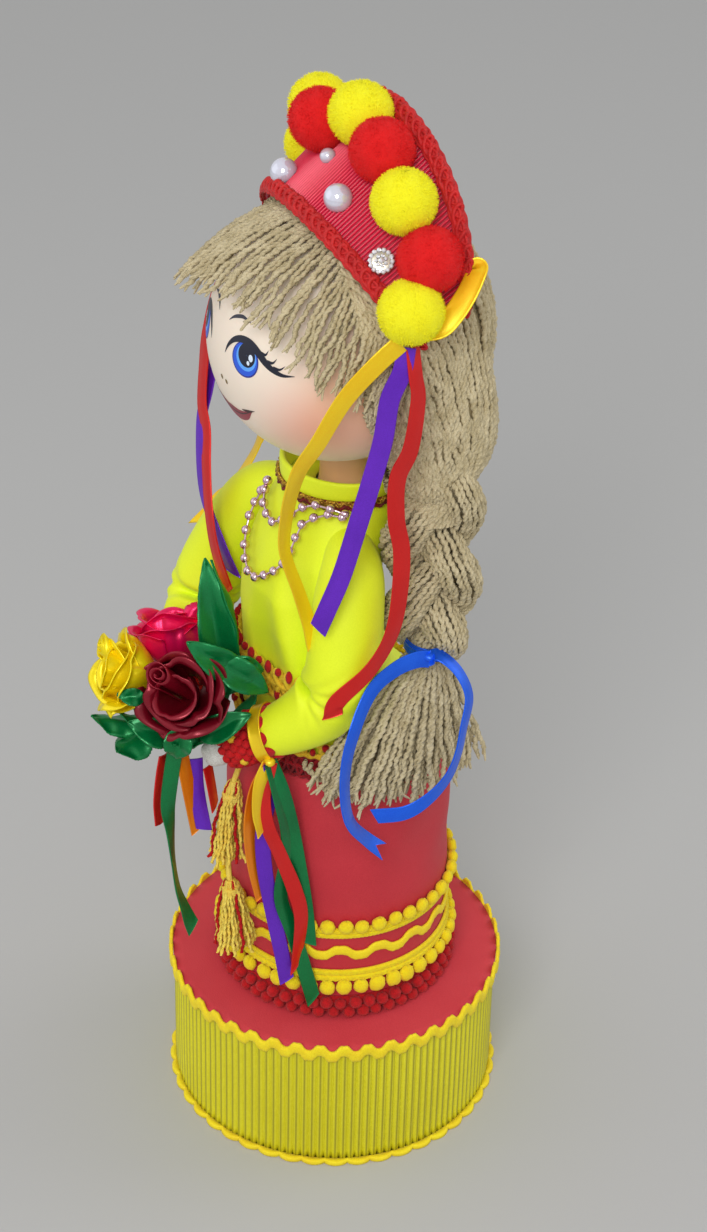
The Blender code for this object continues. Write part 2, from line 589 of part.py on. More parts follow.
def build_torso():
    """Foam torso, blouse, hem trim, lace belt, collar with its braid, and neck."""
    bore = DOWEL_RADIUS + GAP
    foam = ((0.80, 0.80, 0.78), 0.9, 0.0)
    blouse_yellow = ((0.58, 0.80, 0.01), 0.7, 0.0)
    drill = turned("dowel_bore", [(0.0, HEAD_HEIGHT), (bore, HEAD_HEIGHT), (bore, 0.0), (0.0, 0.0)],
                   None, SMALL_FACETS, cutter=True)
    core_low = SKIRT_TOP_HEIGHT + GAP
    core = torso("torso_core", BLOUSE_THICKNESS + GAP * 3.0, core_low, foam)
    cut(core, drill)
    blouse = torso("blouse", 0.0, WAIST_HEIGHT, blouse_yellow)
    inner = torso("blouse_inside", BLOUSE_THICKNESS, core_low, None, cutter=True)
    neck_hole = turned("neck_hole", [(0.0, HEAD_HEIGHT), (NECK_RADIUS + GAP, HEAD_HEIGHT),
                                     (NECK_RADIUS + GAP, COLLAR_BASE_HEIGHT - OVERRUN),
                                     (0.0, COLLAR_BASE_HEIGHT - OVERRUN)], None, FACETS, cutter=True)
    cut(blouse, inner, neck_hole)
    ring("lace_belt", HEM_HALF_WIDTH - BELT_THICKNESS, HEM_HALF_WIDTH, core_low, core_low + BELT_HEIGHT,
         ((0.30, 0.008, 0.02), 0.85, 0.0))
    trim_in = HEM_HALF_WIDTH + GAP
    ring("blouse_hem_trim", trim_in, trim_in + HEM_TRIM_THICKNESS, WAIST_HEIGHT, WAIST_HEIGHT + HEM_TRIM_HEIGHT,
         ((0.85, 0.62, 0.03), 0.85, 0.0))
    base = COLLAR_BASE_HEIGHT + GAP
    ring("collar", COLLAR_RADIUS - COLLAR_THICKNESS, COLLAR_RADIUS, base, base + COLLAR_HEIGHT, blouse_yellow,
         FACETS)
    braid_in = COLLAR_RADIUS + GAP
    ring("collar_braid", braid_in, braid_in + COLLAR_BRAID_THICKNESS, base, base + COLLAR_BRAID_HEIGHT,
         ((0.45, 0.20, 0.03), 0.4, 0.6), FACETS)
    neck = turned("neck", [(0.0, HEAD_HEIGHT), (NECK_RADIUS, HEAD_HEIGHT),
                           (NECK_RADIUS, COLLAR_BASE_HEIGHT - BLOUSE_THICKNESS),
                           (0.0, COLLAR_BASE_HEIGHT - BLOUSE_THICKNESS)],
                  ((0.80, 0.50, 0.32), 0.5, 0.0), FACETS)
    cut(neck, HEAD_ROOM, drill)


def build_head():
    """Plastic ball of a head, bored for the dowel."""
    bore = DOWEL_RADIUS + GAP
    top = HEAD_HEIGHT - HEAD_RADIUS + DOWEL_IN_HEAD + GAP
    head_bore = turned("head_bore", [(0.0, top), (bore, top), (bore, COLLAR_BASE_HEIGHT),
                                     (0.0, COLLAR_BASE_HEIGHT)], None, SMALL_FACETS, cutter=True)
    head = ball("head", HEAD, [HEAD_RADIUS] * 3, ((0.83, 0.60, 0.44), 0.35, 0.0))
    cut(head, head_bore)


def hair_masses():
    """The three egg shapes of the loose hair: crown, nape and the side that the braid hangs from."""
    yarn = ((0.36, 0.30, 0.20), 0.95, 0.0)
    crown = ball("hair_cap", HEAD + Vector((0.0, HAIR_BACK_SHIFT, 0.0)), HAIR_HALF_SIZES, yarn)
    nape = ball("hair_nape", HEAD + Vector(NAPE_PLACE_SHARES) * HEAD_RADIUS,
                Vector(NAPE_HALF_SHARES) * HEAD_RADIUS, yarn, cutter=True)
    side = ball("hair_side", HEAD + Vector(SIDE_PLACE_SHARES) * HEAD_RADIUS,
                Vector(SIDE_HALF_SHARES) * HEAD_RADIUS, yarn, cutter=True)
    for mass in (nape, side):
        mass.data.shade_smooth()
    return crown, nape, side


def build_hair_cap(*rooms):
    """Yarn glued over the head: one mass, open over the face and round the collar."""
    crown, nape, side = hair_masses()
    reach = HEAD_RADIUS * 2.0
    lean = math.tan(BAND_TILT)
    jaw, temple = (Vector(place) * HEAD_RADIUS for place in HAIRLINE_SHARES)
    rise = (BAND_SETBACK - temple.x * math.cos(BAND_TILT)) / math.sin(BAND_TILT)
    outline = [(jaw.x, -reach), jaw, temple, (temple.x, rise), (-reach, rise + (temple.x + reach) / lean),
               (-reach, -reach)]
    mesh = bpy.data.meshes.new("face_opening")
    cage = bmesh.new()
    loops = []
    for side_x in (-reach, reach):
        loops.append([cage.verts.new(HEAD + Vector((side_x, y, z))) for y, z in outline])
    face = cage.faces.new(loops[0])
    grown = bmesh.ops.extrude_face_region(cage, geom=[face])
    for item in grown["geom"]:
        if isinstance(item, bmesh.types.BMVert):
            item.co.x += reach * 2.0
    for vert in loops[1]:
        cage.verts.remove(vert)
    bmesh.ops.recalc_face_normals(cage, faces=cage.faces)
    cage.to_mesh(mesh)
    cage.free()
    opening = add_piece("face_opening", mesh, None, cutter=True)
    throat_neck = turned("neck_room", [(0.0, HEAD_HEIGHT), (NECK_RADIUS + GAP, HEAD_HEIGHT),
                                       (NECK_RADIUS + GAP, COLLAR_BASE_HEIGHT), (0.0, COLLAR_BASE_HEIGHT)],
                         None, SMALL_FACETS, cutter=True)
    join(crown, nape, side)
    cut(crown, HEAD_ROOM, opening, throat_neck, *rooms)


def fringe_place(share_across, share_down):
    """Where the fringe lies: from under the band's front edge down to its tips."""
    turn = (share_across * 2.0 - 1.0) * FRINGE_HALF_TURN
    setback = BAND_SETBACK - GAP * 2.0
    across = math.sqrt(FRINGE_RADIUS ** 2 - setback ** 2)
    root = band_place(turn, setback, across) - HEAD
    tip_up = math.radians(FRINGE_TIP_DEGREES[0] - FRINGE_TIP_DEGREES[1] * abs(share_across * 2.0 - 1.0) ** 2)
    tip = Vector((math.sin(turn) * math.cos(tip_up), -math.cos(turn) * math.cos(tip_up), math.sin(tip_up)))
    heading = root.normalized().slerp(tip.normalized(), share_down)
    jut = FRINGE_JUT * math.cos(turn) ** 2 * max(share_down, 0.0) ** 1.5
    return HEAD + heading * (FRINGE_RADIUS + jut)


def build_fringe():
    """Short yarn ends that jut over the face like a visor."""
    fringe = panel("fringe", fringe_place, FRINGE_CELLS, 4, FRINGE_THICKNESS, ((0.38, 0.32, 0.21), 0.95, 0.0))
    cut(fringe, HEAD_ROOM)
    over = OVERRUN / FRINGE_RADIUS

    def wider(share_across, share_down):
        return fringe_place(share_across * (1.0 + over * 2.0) - over, share_down * (1.0 + over * 2.0) - over)

    return panel("fringe_room", wider, FRINGE_CELLS, 4, FRINGE_THICKNESS + GAP * 4.0, None, cutter=True)


def band_place(turn, setback, radius):
    """A point of the headdress cone: turned about its axis, set back along it, out from it."""
    axis = Vector((0.0, math.cos(BAND_TILT), math.sin(BAND_TILT)))
    rise = Vector((0.0, -math.sin(BAND_TILT), math.cos(BAND_TILT)))
    side = Vector((1.0, 0.0, 0.0))
    return HEAD + axis * setback + (rise * math.cos(turn) + side * math.sin(turn)) * radius


def band_width_at(turn):
    """The band is widest over the crown and narrows to its ends."""
    return BAND_WIDTH * max(math.cos(turn), BAND_ENDS_SHARE ** (1.0 / BAND_TAPER_SHARE)) ** BAND_TAPER_SHARE


def band_radius_at(setback):
    """The cone opens out towards the back."""
    return BAND_FRONT_RADIUS + (BAND_BACK_RADIUS - BAND_FRONT_RADIUS) * (setback - BAND_SETBACK) / BAND_WIDTH


def band_surface(turn, share_back, proud):
    """A point on the band, a share of the way from its front edge to its back edge."""
    setback = BAND_SETBACK + band_width_at(turn) * share_back
    return band_place(turn, setback, band_radius_at(setback) + proud)


def band_sheet(name, share_low, share_high, proud, thickness, cells, look, cutter=False):
    """A strip of the cone between two shares of the band's width."""

    def place_at(share_across, share_along):
        turn = (share_along * 2.0 - 1.0) * BAND_HALF_TURN
        share_back = share_low + (share_high - share_low) * share_across
        return band_surface(turn, share_back, proud)
    return panel(name, place_at, cells, BAND_CELLS, thickness, look, cutter=cutter)


def gimp_strip(name, edge, side, proud, thickness, look, spread=0.0, cutter=False):
    """Gimp braid glued along the front (edge 0) or back (edge 1) of the band."""

    def place_at(share_across, share_along):
        turn = (share_along * 2.0 - 1.0) * (BAND_HALF_TURN + spread / BAND_FRONT_RADIUS)
        shift = side * (share_across * (GIMP_WIDTH + spread * 2.0) - GIMP_WIDTH * GIMP_OVERHANG_SHARE - spread)
        setback = BAND_SETBACK + band_width_at(turn) * edge + shift
        return band_place(turn, setback, band_radius_at(setback) + proud)
    return panel(name, place_at, 1, BAND_CELLS, thickness, look, cutter=cutter)


def build_headdress():
    """Ribbed card band with gimp edges and nine pompoms."""
    card = ((0.30, 0.004, 0.02), 0.25, 0.0)
    gimp = ((0.42, 0.012, 0.012), 0.7, 0.0)
    band_sheet("headdress_band", 0.0, 1.0, 0.0, BAND_THICKNESS, 4, card)
    out = BAND_THICKNESS / 2.0
    on_band = out + GAP + GIMP_THICKNESS / 2.0
    gimp_strip("front_gimp", 0.0, 1.0, on_band, GIMP_THICKNESS, gimp)
    gimp_strip("back_gimp", 1.0, -1.0, on_band, GIMP_THICKNESS, gimp)
    room = band_sheet("band_room", -0.1, 1.1, out + GAP - OVERRUN, OVERRUN * 2.0, 4, None, cutter=True)
    front_room = gimp_strip("front_gimp_room", 0.0, 1.0, on_band, GIMP_THICKNESS + GAP * 2.0, None, GAP, True)
    back_room = gimp_strip("back_gimp_room", 1.0, -1.0, on_band, GIMP_THICKNESS + GAP * 2.0, None, GAP, True)
    build_pompoms(room, front_room, back_room)


def build_pompoms(room, front_room, back_room):
    """Pompoms alternate yellow and red from one temple over the crown to the other."""
    yellow = ((0.82, 0.80, 0.01), 0.95, 0.0)
    red = ((0.52, 0.008, 0.012), 0.95, 0.0)
    places = list(zip(POMPOM_TURNS, POMPOM_SETBACK_SHARES, POMPOM_FAR_TURNS, POMPOM_FAR_SHARES))
    row = [(turn, share) for turn, share, _, _ in places] + [(-t, s) for _, _, t, s in reversed(places[:-1])]
    rooms = {}
    for number, (turn, share) in enumerate(row, start=1):
        centre = pompom_centre(turn, share)
        if number % 2:
            rooms[number] = ball("pompom_room_%d" % number, centre, [POMPOM_RADIUS + GAP] * 3, None,
                                 BALL_FACETS, cutter=True)
    for number, (turn, share) in enumerate(row, start=1):
        pompom = ball("pompom_%d" % number, pompom_centre(turn, share), [POMPOM_RADIUS] * 3,
                      yellow if number % 2 else red, BALL_FACETS)
        near = [rooms[n] for n in (number - 1, number + 1) if n in rooms and not number % 2]
        cut(pompom, room, front_room, back_room, *near)


def pompom_centre(turn, share):
    """A pompom's centre: a share of the way to its place over the crown, proud of the band."""
    setback = BAND_WIDTH * share
    return band_place(turn, setback, BAND_BACK_RADIUS + POMPOM_PROUD)


def braid_centre(share):
    """The braid's centre line, from under the hair to the tie."""
    return BRAID_TOP.lerp(BRAID_TIE, share)


def build_braid(rooms, tail_rooms):
    """Three strands plaited over each other, the loose tail below the tie, and the ribbon."""
    yarn = ((0.36, 0.30, 0.20), 0.95, 0.0)
    across = Vector((math.cos(BRAID_FACING), math.sin(BRAID_FACING), 0.0))
    out = Vector((math.sin(BRAID_FACING), -math.cos(BRAID_FACING), 0.0))
    length = (BRAID_TOP - BRAID_TIE).length
    wide = BRAID_SWAY + STRAND_RADIUS * 2.0
    low = -TAIL_LENGTH
    floor = baked(turned("braid_foot_room", [(0.0, RIBBON_WIDTH / 2.0), (wide, RIBBON_WIDTH / 2.0), (wide, low),
                                             (0.0, low)], None, SMALL_FACETS, cutter=True))
    floor.data.transform(Matrix.Translation(BRAID_TIE))
    hair_low = HEAD_HEIGHT + HEAD_RADIUS * (SIDE_PLACE_SHARES[2] - SIDE_HALF_SHARES[2]) - GAP
    roof = baked(turned("braid_head_room", [(0.0, HEAD_HEIGHT), (wide, HEAD_HEIGHT), (wide, hair_low),
                                            (0.0, hair_low)], None, SMALL_FACETS, cutter=True))
    roof.data.transform(Matrix.Translation(Vector((BRAID_TOP.x, BRAID_TOP.y, 0.0))))
    rooms = rooms + [floor, roof]
    for number in range(3):
        route, radii = [], []
        for step in range(BRAID_POINTS):
            share = step / (BRAID_POINTS - 1)
            phase = math.tau * (share * length / BRAID_PITCH + number / 3.0 + BRAID_PHASE_SHARE)
            draw_in = 1.0 - BRAID_NECKING_SHARE * max(0.0, share * 4.0 - 3.0) ** 2
            place = braid_centre(share) + across * math.sin(phase) * BRAID_SWAY * draw_in
            route.append(place + out * math.sin(phase * 2.0) * BRAID_DEPTH * draw_in)
            radii.append(STRAND_RADIUS * draw_in)
        strand = tube("braid_strand_%d" % (number + 1), route, radii, yarn, 1)
        cut(strand, *rooms)
        grown = [radius + GAP for radius in radii]
        rooms = rooms + [tube("strand_room_%d" % (number + 1), route, grown, None, 1, cutter=True)]
    build_tail(across, out, yarn, tail_rooms)


def build_tail(across, out, yarn, rooms):
    """The loose tail fans out below the tie, its neck running up through the blue ribbon's loop."""
    neck = TIE_RADIUS * NECK_SHARE
    half_tie = RIBBON_WIDTH / 2.0
    profile = [(0.0, 0.0)] + [(1.0, -share) for share in TAIL_LEVEL_SHARES]
    profile += [(TAIL_ROUND_SHARE, -1.0), (0.0, -1.0)]
    tail = baked(turned("braid_tail", profile, yarn))
    for vert in tail.data.vertices:
        side, depth, down = vert.co.x, vert.co.y, -vert.co.z
        opening = max(0.0, down - RIBBON_WIDTH / TAIL_LENGTH) ** 0.7
        spread = side * (neck + (TAIL_HALF_WIDTH - neck) * opening) + TAIL_BACK_SHARE * TAIL_HALF_WIDTH * opening
        proud = depth * (neck + (TAIL_HALF_THICKNESS - neck) * opening)
        flare = (TAIL_FLARE - TAIL_SWING * side - TAIL_WRAP * side ** 2) * opening
        droop = TAIL_LENGTH * down * (1.0 - TAIL_RAGGED_SHARE * side ** 2 * opening)
        vert.co = BRAID_TIE + across * spread + out * (flare - proud) + UP * (half_tie - GAP - droop)
    cut(tail, *rooms)
    blue = ((0.01, 0.09, 0.60), 0.35, 0.0)
    hole = TIE_RADIUS - RIBBON_THICKNESS * 2.0
    loop = turned("braid_ribbon", [(TIE_RADIUS, half_tie), (TIE_RADIUS, -half_tie), (hole, -half_tie),
                                   (hole, half_tie)], blue, SMALL_FACETS, closed=True)
    baked(loop)
    loop.data.transform(Matrix.Translation(BRAID_TIE - UP * GAP))
    ends = []
    for side, shares in (("near", BOW_LEFT_SHARES), ("far", BOW_RIGHT_SHARES)):
        route = [BRAID_TIE + across * a * BOW_RIBBON_LENGTH + out * o * BOW_RIBBON_LENGTH
                 - UP * d * BOW_RIBBON_LENGTH for a, o, d in shares]
        end = ribbon("bow_end_" + side, route, out, blue)
        use_as_cutter(end)
        ends.append(end)
    join(loop, *ends)


def use_as_cutter(piece):
    """Move a piece among the cutters."""
    DOLL.objects.unlink(piece)
    CUTTERS.objects.link(piece)
    piece.hide_render = True
    piece.display_type = "WIRE"


def build_temple_ribbons():
    """Three satin ribbons from each end of the headdress, hanging past the cheeks."""
    for name, colour, facing, shares in TEMPLE_RIBBON_SHARES:
        ribbon(name, shares_to_places(HEAD, TEMPLE_DROP, shares), Vector(facing), (colour, 0.35, 0.0))


def arm_parts(side, route_shares, radius_shares, hand_shares):
    """A sleeve, and the wristband and hand beyond it; side is left or right."""
    origin = UP * SHOULDER_HEIGHT
    blouse_yellow = ((0.58, 0.80, 0.01), 0.7, 0.0)
    route = smooth_route(shares_to_places(origin, ARM_LENGTH, route_shares), 15)
    reach = smooth_route([Vector((r, 0.0, 0.0)) for r in radius_shares], 15)
    radii = [SLEEVE_RADIUS * r.x for r in reach]
    sleeve = tube(side + "_sleeve", route, radii, blouse_yellow, 3)
    heading = (route[-1] - route[-2]).normalized()
    start = route[-1] + heading * GAP * 2.0
    finish = start + heading * CUFF_LENGTH
    band = tube(side + "_wristband", [start, start.lerp(finish, 0.5), finish],
                [CUFF_RADIUS, CUFF_RADIUS * CUFF_SWELL_SHARE, CUFF_RADIUS], ((0.50, 0.008, 0.012), 0.95, 0.0), 3)
    fingers = shares_to_places(origin, ARM_LENGTH, hand_shares)
    palm = smooth_route([start, finish] + fingers, 9)
    taper = [CUFF_RADIUS - CUFF_WALL] * 3 + [HAND_RADIUS * share for share in HAND_TAPER_SHARES]
    hand = tube(side + "_hand", palm, taper, ((0.80, 0.78, 0.74), 0.8, 0.0), 2)
    wrist_room = tube(side + "_wrist_room", [start - heading * OVERRUN, finish + heading * OVERRUN],
                      [CUFF_RADIUS - CUFF_WALL + GAP * 2.0] * 2, None, 3, cutter=True)
    cut(band, HEM_ROOM, wrist_room)
    room = tube(side + "_wristband_room", [start - heading * OVERRUN, finish + heading * GAP],
                [CUFF_RADIUS * CUFF_SWELL_SHARE + GAP] * 2, None, 3, cutter=True)
    palm_room = tube(side + "_hand_room", palm + [palm[-1] * 2.0 - palm[-2]],
                     [radius + GAP * 2.0 for radius in taper] + [taper[-1]], None, 2, cutter=True)
    sleeve_room = tube(side + "_sleeve_room", route, [radius + GAP for radius in radii], None, 3, cutter=True)
    return sleeve, sleeve_room, [room, palm_room, sleeve_room]


def build_arms(torso_room):
    """Both arms bend forward to hold the bouquet; the sleeves are cut by the blouse that they join."""
    rooms = {}
    for side, route, fingers in (("left", LEFT_ARM_SHARES, LEFT_HAND_SHARES),
                                 ("right", RIGHT_ARM_SHARES, RIGHT_HAND_SHARES)):
        sleeve, sleeve_room, arm_rooms = arm_parts(side, route, ARM_RADIUS_SHARES, fingers)
        cut(sleeve, torso_room, HEM_ROOM)
        rooms[side] = sleeve_room
        rooms[side + "_all"] = arm_rooms
    return rooms


def rose(name, centre, radius, lean, colour, *rooms):
    """A satin rose: a round bud whose rolled petals swell in a slow spiral."""
    flower = ball(name, Vector((0.0, 0.0, 0.0)), [radius] * 3, (colour, 0.35, 0.0), BALL_FACETS)
    for vert in flower.data.vertices:
        height = vert.co.z / radius
        around = math.atan2(vert.co.y, vert.co.x)
        swell = 1.0 + ROSE_PETAL_SHARE * math.sin(around * 3.0 + height * 4.0)
        vert.co.x *= swell
        vert.co.y *= swell
        vert.co.z *= ROSE_HEIGHT_SHARE
    heading = UP.rotation_difference(Vector(lean).normalized()).to_matrix().to_4x4()
    flower.data.transform(Matrix.Translation(centre) @ heading)
    cut(flower, *rooms)
    return flower


def build_bouquet(rooms):
    """Three satin roses on a cup of satin leaves, held between the hands."""
    heart = Vector((0.0, -BOUQUET_REACH, BOUQUET_HEIGHT))
    reach = ROSE_RADIUS
    big, yellow, pink = shares_to_places(heart, reach, (BURGUNDY_SHARES, YELLOW_SHARES, PINK_SHARES))
    big_room, yellow_room, pink_room = (
        ball(name, place, [radius * (1.0 + ROSE_PETAL_SHARE) + GAP] * 3, None, BALL_FACETS, cutter=True)
        for name, place, radius in (("burgundy_room", big, ROSE_RADIUS), ("yellow_room", yellow, SMALL_ROSE_RADIUS),
                                    ("pink_room", pink, SMALL_ROSE_RADIUS)))
    rose("rose_burgundy", big, ROSE_RADIUS, (0.7, -0.6, 0.4), (0.11, 0.004, 0.010))
    rose("rose_yellow", yellow, SMALL_ROSE_RADIUS, (-0.2, -0.9, 0.4), (0.88, 0.70, 0.01), big_room)
    rose("rose_pink", pink, SMALL_ROSE_RADIUS, (-0.5, 0.1, 0.85), (0.82, 0.01, 0.10), big_room, yellow_room,
         *rooms)
    cup = heart - UP * reach * CUP_DROP_SHARE
    leaves = ball("bouquet_leaves", cup, (reach * CUP_WIDE_SHARE, reach * CUP_LONG_SHARE, reach * CUP_DEPTH_SHARE),
                  (GREEN, 0.35, 0.0), BALL_FACETS)
    blades = []
    for number, (root_share, tip_share, size) in enumerate(LEAF_SHARES):
        root = heart + Vector(root_share) * reach
        tip = heart + Vector(tip_share) * reach
        blades.append(leaf("leaf_%d" % number, root, tip, size))
    join(leaves, *blades)
    cut(leaves, big_room, yellow_room, pink_room, *rooms)


def leaf(name, root, tip, width_share):
    """One pointed satin leaf, a flat egg shape from its root to its tip."""
    blade = ball(name, Vector((0.0, 0.0, 0.0)), ((tip - root).length / 2.0, LEAF_WIDTH / 2.0 * width_share,
                                                 LEAF_THICKNESS), (GREEN, 0.35, 0.0), LEAF_FACETS, cutter=True)
    heading = (tip - root).to_track_quat("X", "Z").to_matrix().to_4x4()
    blade.data.transform(Matrix.Translation((root + tip) / 2.0) @ heading)
    return blade


def bunch(name, knot, knot_radii, size, strips, facing):
    """Ribbons hanging from one knot, fused to it."""
    first = strips[0][0]
    whole = ball(name, knot, knot_radii, (first, 0.35, 0.0), LEAF_FACETS)
    tails = []
    for number, (colour, shares) in enumerate(strips):
        tail = ribbon("%s_end_%d" % (name, number), shares_to_places(knot, size, shares), facing,
                      (colour, 0.35, 0.0), count=SHORT_RIBBON_POINTS)
        use_as_cutter(tail)
        tails.append(tail)
    join(whole, *tails)
    return whole


def build_hanging_bunches():
    """Ribbons under the bouquet, and ribbons tied round the left wristband."""
    cup_low = BOUQUET_HEIGHT - ROSE_RADIUS * (CUP_DROP_SHARE + CUP_DEPTH_SHARE)
    knot = Vector((0.0, -BOUQUET_REACH, cup_low - GAP - KNOT_HALF_HEIGHT))
    bunch("bouquet_ribbons", knot, (RIBBON_WIDTH / 2.0, RIBBON_WIDTH / 2.0, KNOT_HALF_HEIGHT),
          BOUQUET_RIBBON_LENGTH, BOUQUET_STRIP_SHARES, Vector((1.0, 0.0, 0.0)))
    wrist = UP * SHOULDER_HEIGHT + Vector(WRIST_KNOT_SHARES) * ARM_LENGTH
    wide, tall = RIBBON_WIDTH * WRIST_KNOT_WIDE_SHARE, RIBBON_WIDTH * WRIST_KNOT_TALL_SHARE
    bunch("wrist_ribbons", wrist, (wide, wide, tall), wrist.z - DECK - RIBBON_CLEAR, WRIST_STRIP_SHARES,
          Vector((0.70, -0.71, 0.0)))


def build_belt_tassels():
    """Two yarn tassels on one cord, hung from the front of the belt."""
    hook = Vector((TASSEL_ASIDE, -HEM_HALF_WIDTH - TASSEL_CORD_RADIUS - GAP,
                   WAIST_HEIGHT - BELT_HEIGHT * TASSEL_HOOK_SHARE))
    route, radii = [], []
    for across, out, down, bulge in TASSEL_SHARES:
        route.append(hook + Vector((across, -out, -down)) * TASSEL_LENGTH)
        radii.append(TASSEL_CORD_RADIUS + (TASSEL_RADIUS - TASSEL_CORD_RADIUS) * bulge)
    tube("belt_tassels", route, radii, ((0.85, 0.62, 0.05), 0.95, 0.0), 2)


def build_necklace():
    """Two strings of silver beads over the chest, each bead a swelling of one string."""
    silver = ((0.70, 0.60, 0.64), 0.2, 0.9)
    for name, shares in (("bead_string_long", LONG_STRING_SHARES), ("bead_string_short", SHORT_STRING_SHARES)):
        keys = [Vector((turn * math.pi, WAIST_HEIGHT + rise * BLOUSE_HEIGHT, 0.0)) for turn, rise in shares]
        fine = [on_chest(key.x, key.y) for key in smooth_route(keys, STRING_POINTS)]
        length = sum((b - a).length for a, b in zip(fine, fine[1:]))
        beads = max(int(length / BEAD_PITCH), 2)
        route = [on_chest(key.x, key.y) for key in smooth_route(keys, beads * 2 + 1)]
        radii = [BEAD_RADIUS * (1.0 if i % 2 else THREAD_SHARE) for i in range(len(route))]
        tube(name, route, radii, silver, 1)


def on_chest(turn, height):
    """A bead's place on the blouse: turned from the front towards the left hand, at a height."""
    wide, deep, forward = torso_section(height)
    proud = BEAD_RADIUS + GAP * 2.0
    return Vector((math.sin(turn) * (wide + proud), -math.cos(turn) * (deep + proud) - forward, height + proud))


clear_scene()
DOLL = new_collection("yarn_doll")
CUTTERS = new_collection("cutters")
HEAD_ROOM = ball("head_room", HEAD, [HEAD_RADIUS + GAP] * 3, None, cutter=True)
TORSO_ROOM = torso("torso_room", -GAP, WAIST_HEIGHT - OVERRUN, None, cutter=True)
HEM_ROOM = hem_room("hem_room", GAP * 2.0)
TAIL_ROOM = hem_room("tail_room", SWING_GAP)
COLLAR_ROOM = collar_room()

build_stand()
build_spine()
build_skirt()
build_torso()
build_head()
FRINGE_ROOM = build_fringe()
build_hair_cap(TORSO_ROOM, COLLAR_ROOM, FRINGE_ROOM)
build_headdress()
ARM_ROOMS = build_arms(TORSO_ROOM)
build_braid([TORSO_ROOM, HEAD_ROOM, COLLAR_ROOM, ARM_ROOMS["left"]],
            [TORSO_ROOM, TAIL_ROOM, ARM_ROOMS["left"]])
build_temple_ribbons()
build_bouquet(ARM_ROOMS["left_all"] + ARM_ROOMS["right_all"])
build_hanging_bunches()
build_belt_tassels()
build_necklace()
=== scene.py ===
"""The looks of a yarn doll in folk dress on a round stand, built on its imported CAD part.

Sizes are in millimetres. The doll faces -Y and its left hand is on +X.
"""
import math

import bpy
import numpy as np
from mathutils import Matrix, Vector


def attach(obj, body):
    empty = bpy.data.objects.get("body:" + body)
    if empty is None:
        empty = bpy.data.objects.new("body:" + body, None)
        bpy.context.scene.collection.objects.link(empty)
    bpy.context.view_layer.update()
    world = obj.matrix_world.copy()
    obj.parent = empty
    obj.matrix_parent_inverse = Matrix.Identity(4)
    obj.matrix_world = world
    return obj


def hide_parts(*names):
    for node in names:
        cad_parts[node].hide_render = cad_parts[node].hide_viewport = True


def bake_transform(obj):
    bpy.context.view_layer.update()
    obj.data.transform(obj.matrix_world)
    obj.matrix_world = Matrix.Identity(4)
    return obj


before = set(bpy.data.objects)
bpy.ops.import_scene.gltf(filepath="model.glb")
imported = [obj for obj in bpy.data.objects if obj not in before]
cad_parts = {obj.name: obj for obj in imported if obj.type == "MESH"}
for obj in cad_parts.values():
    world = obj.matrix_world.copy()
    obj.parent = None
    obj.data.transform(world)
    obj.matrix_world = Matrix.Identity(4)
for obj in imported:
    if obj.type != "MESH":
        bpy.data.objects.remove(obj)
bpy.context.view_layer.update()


# Studio: a pale paper floor, a soft key light from the upper left, a wide fill from the right and a
# pale room. The camera stands above the doll and to its left, as in the photograph.
MM = 0.001
UP = np.array((0.0, 0.0, 1.0))
CAMERA_PLACE, CAMERA_LENS = Vector((0.0, -744.5, 690.4)) * MM, 78.9
AZIMUTH, PITCH, YAW, ROLL = (math.radians(a) for a in (62.0, 33.71, 0.30, 1.41))
LAMP_AIM = Vector((0.0, 0.0, 0.18))
LAMPS = (("key", (0.95, -0.75, 1.15), 0.6, 11.0), ("fill", (-0.7, -1.1, 0.7), 1.2, 2.0),
         ("rim", (0.3, 1.2, 0.9), 0.8, 3.0))
ROOM_LIT, ROOM_SHOWN = 0.56, 0.70
FLOOR_HALF = 3.0


def put(name, data):
    """An object in the scene that shows this data."""
    made = bpy.data.objects.new(name, data)
    bpy.context.scene.collection.objects.link(made)
    return made


def set_inputs(node, inputs):
    """Give each input a constant, an output socket, or the first output of another node."""
    for name, value in inputs.items():
        if isinstance(value, bpy.types.Node):
            value = next(socket for socket in value.outputs if socket.enabled)
        if isinstance(value, bpy.types.NodeSocket):
            node.id_data.links.new(value, node.inputs[name])
        else:
            node.inputs[name].default_value = value


def add_node(tree, kind, inputs={}, **settings):
    """A new shader node with its settings and inputs."""
    made = tree.nodes.new("ShaderNode" + kind)
    for name, value in settings.items():
        setattr(made, name, value)
    set_inputs(made, inputs)
    return made


def new_material(name, inputs):
    """A material of one Principled shader with these constants."""
    made = bpy.data.materials.new(name)
    made.use_nodes = True
    set_inputs(made.node_tree.nodes["Principled BSDF"], inputs)
    return made


camera = put("camera", bpy.data.cameras.new("camera"))
camera.data.lens, camera.data.sensor_width, camera.data.clip_start = CAMERA_LENS, 36.0, 0.01
camera.matrix_world = (Matrix.Rotation(AZIMUTH, 4, "Z") @ Matrix.Translation(CAMERA_PLACE)
                       @ Matrix.Rotation(-YAW, 4, "Z") @ Matrix.Rotation(math.pi / 2.0 - PITCH, 4, "X")
                       @ Matrix.Rotation(ROLL, 4, "Z"))
bpy.context.scene.camera = camera
for name, place, size, power in LAMPS:
    box = put(name, bpy.data.lights.new(name, "AREA"))
    box.data.size, box.data.energy, box.location = size, power, place
    box.rotation_euler = (LAMP_AIM - box.location).to_track_quat("-Z", "Y").to_euler()
room = bpy.data.worlds.new("room")
room.use_nodes = True
path = add_node(room.node_tree, "LightPath")
seen = add_node(room.node_tree, "Math", {0: path.outputs["Is Camera Ray"], 1: path.outputs["Is Glossy Ray"]},
                operation="MAXIMUM")
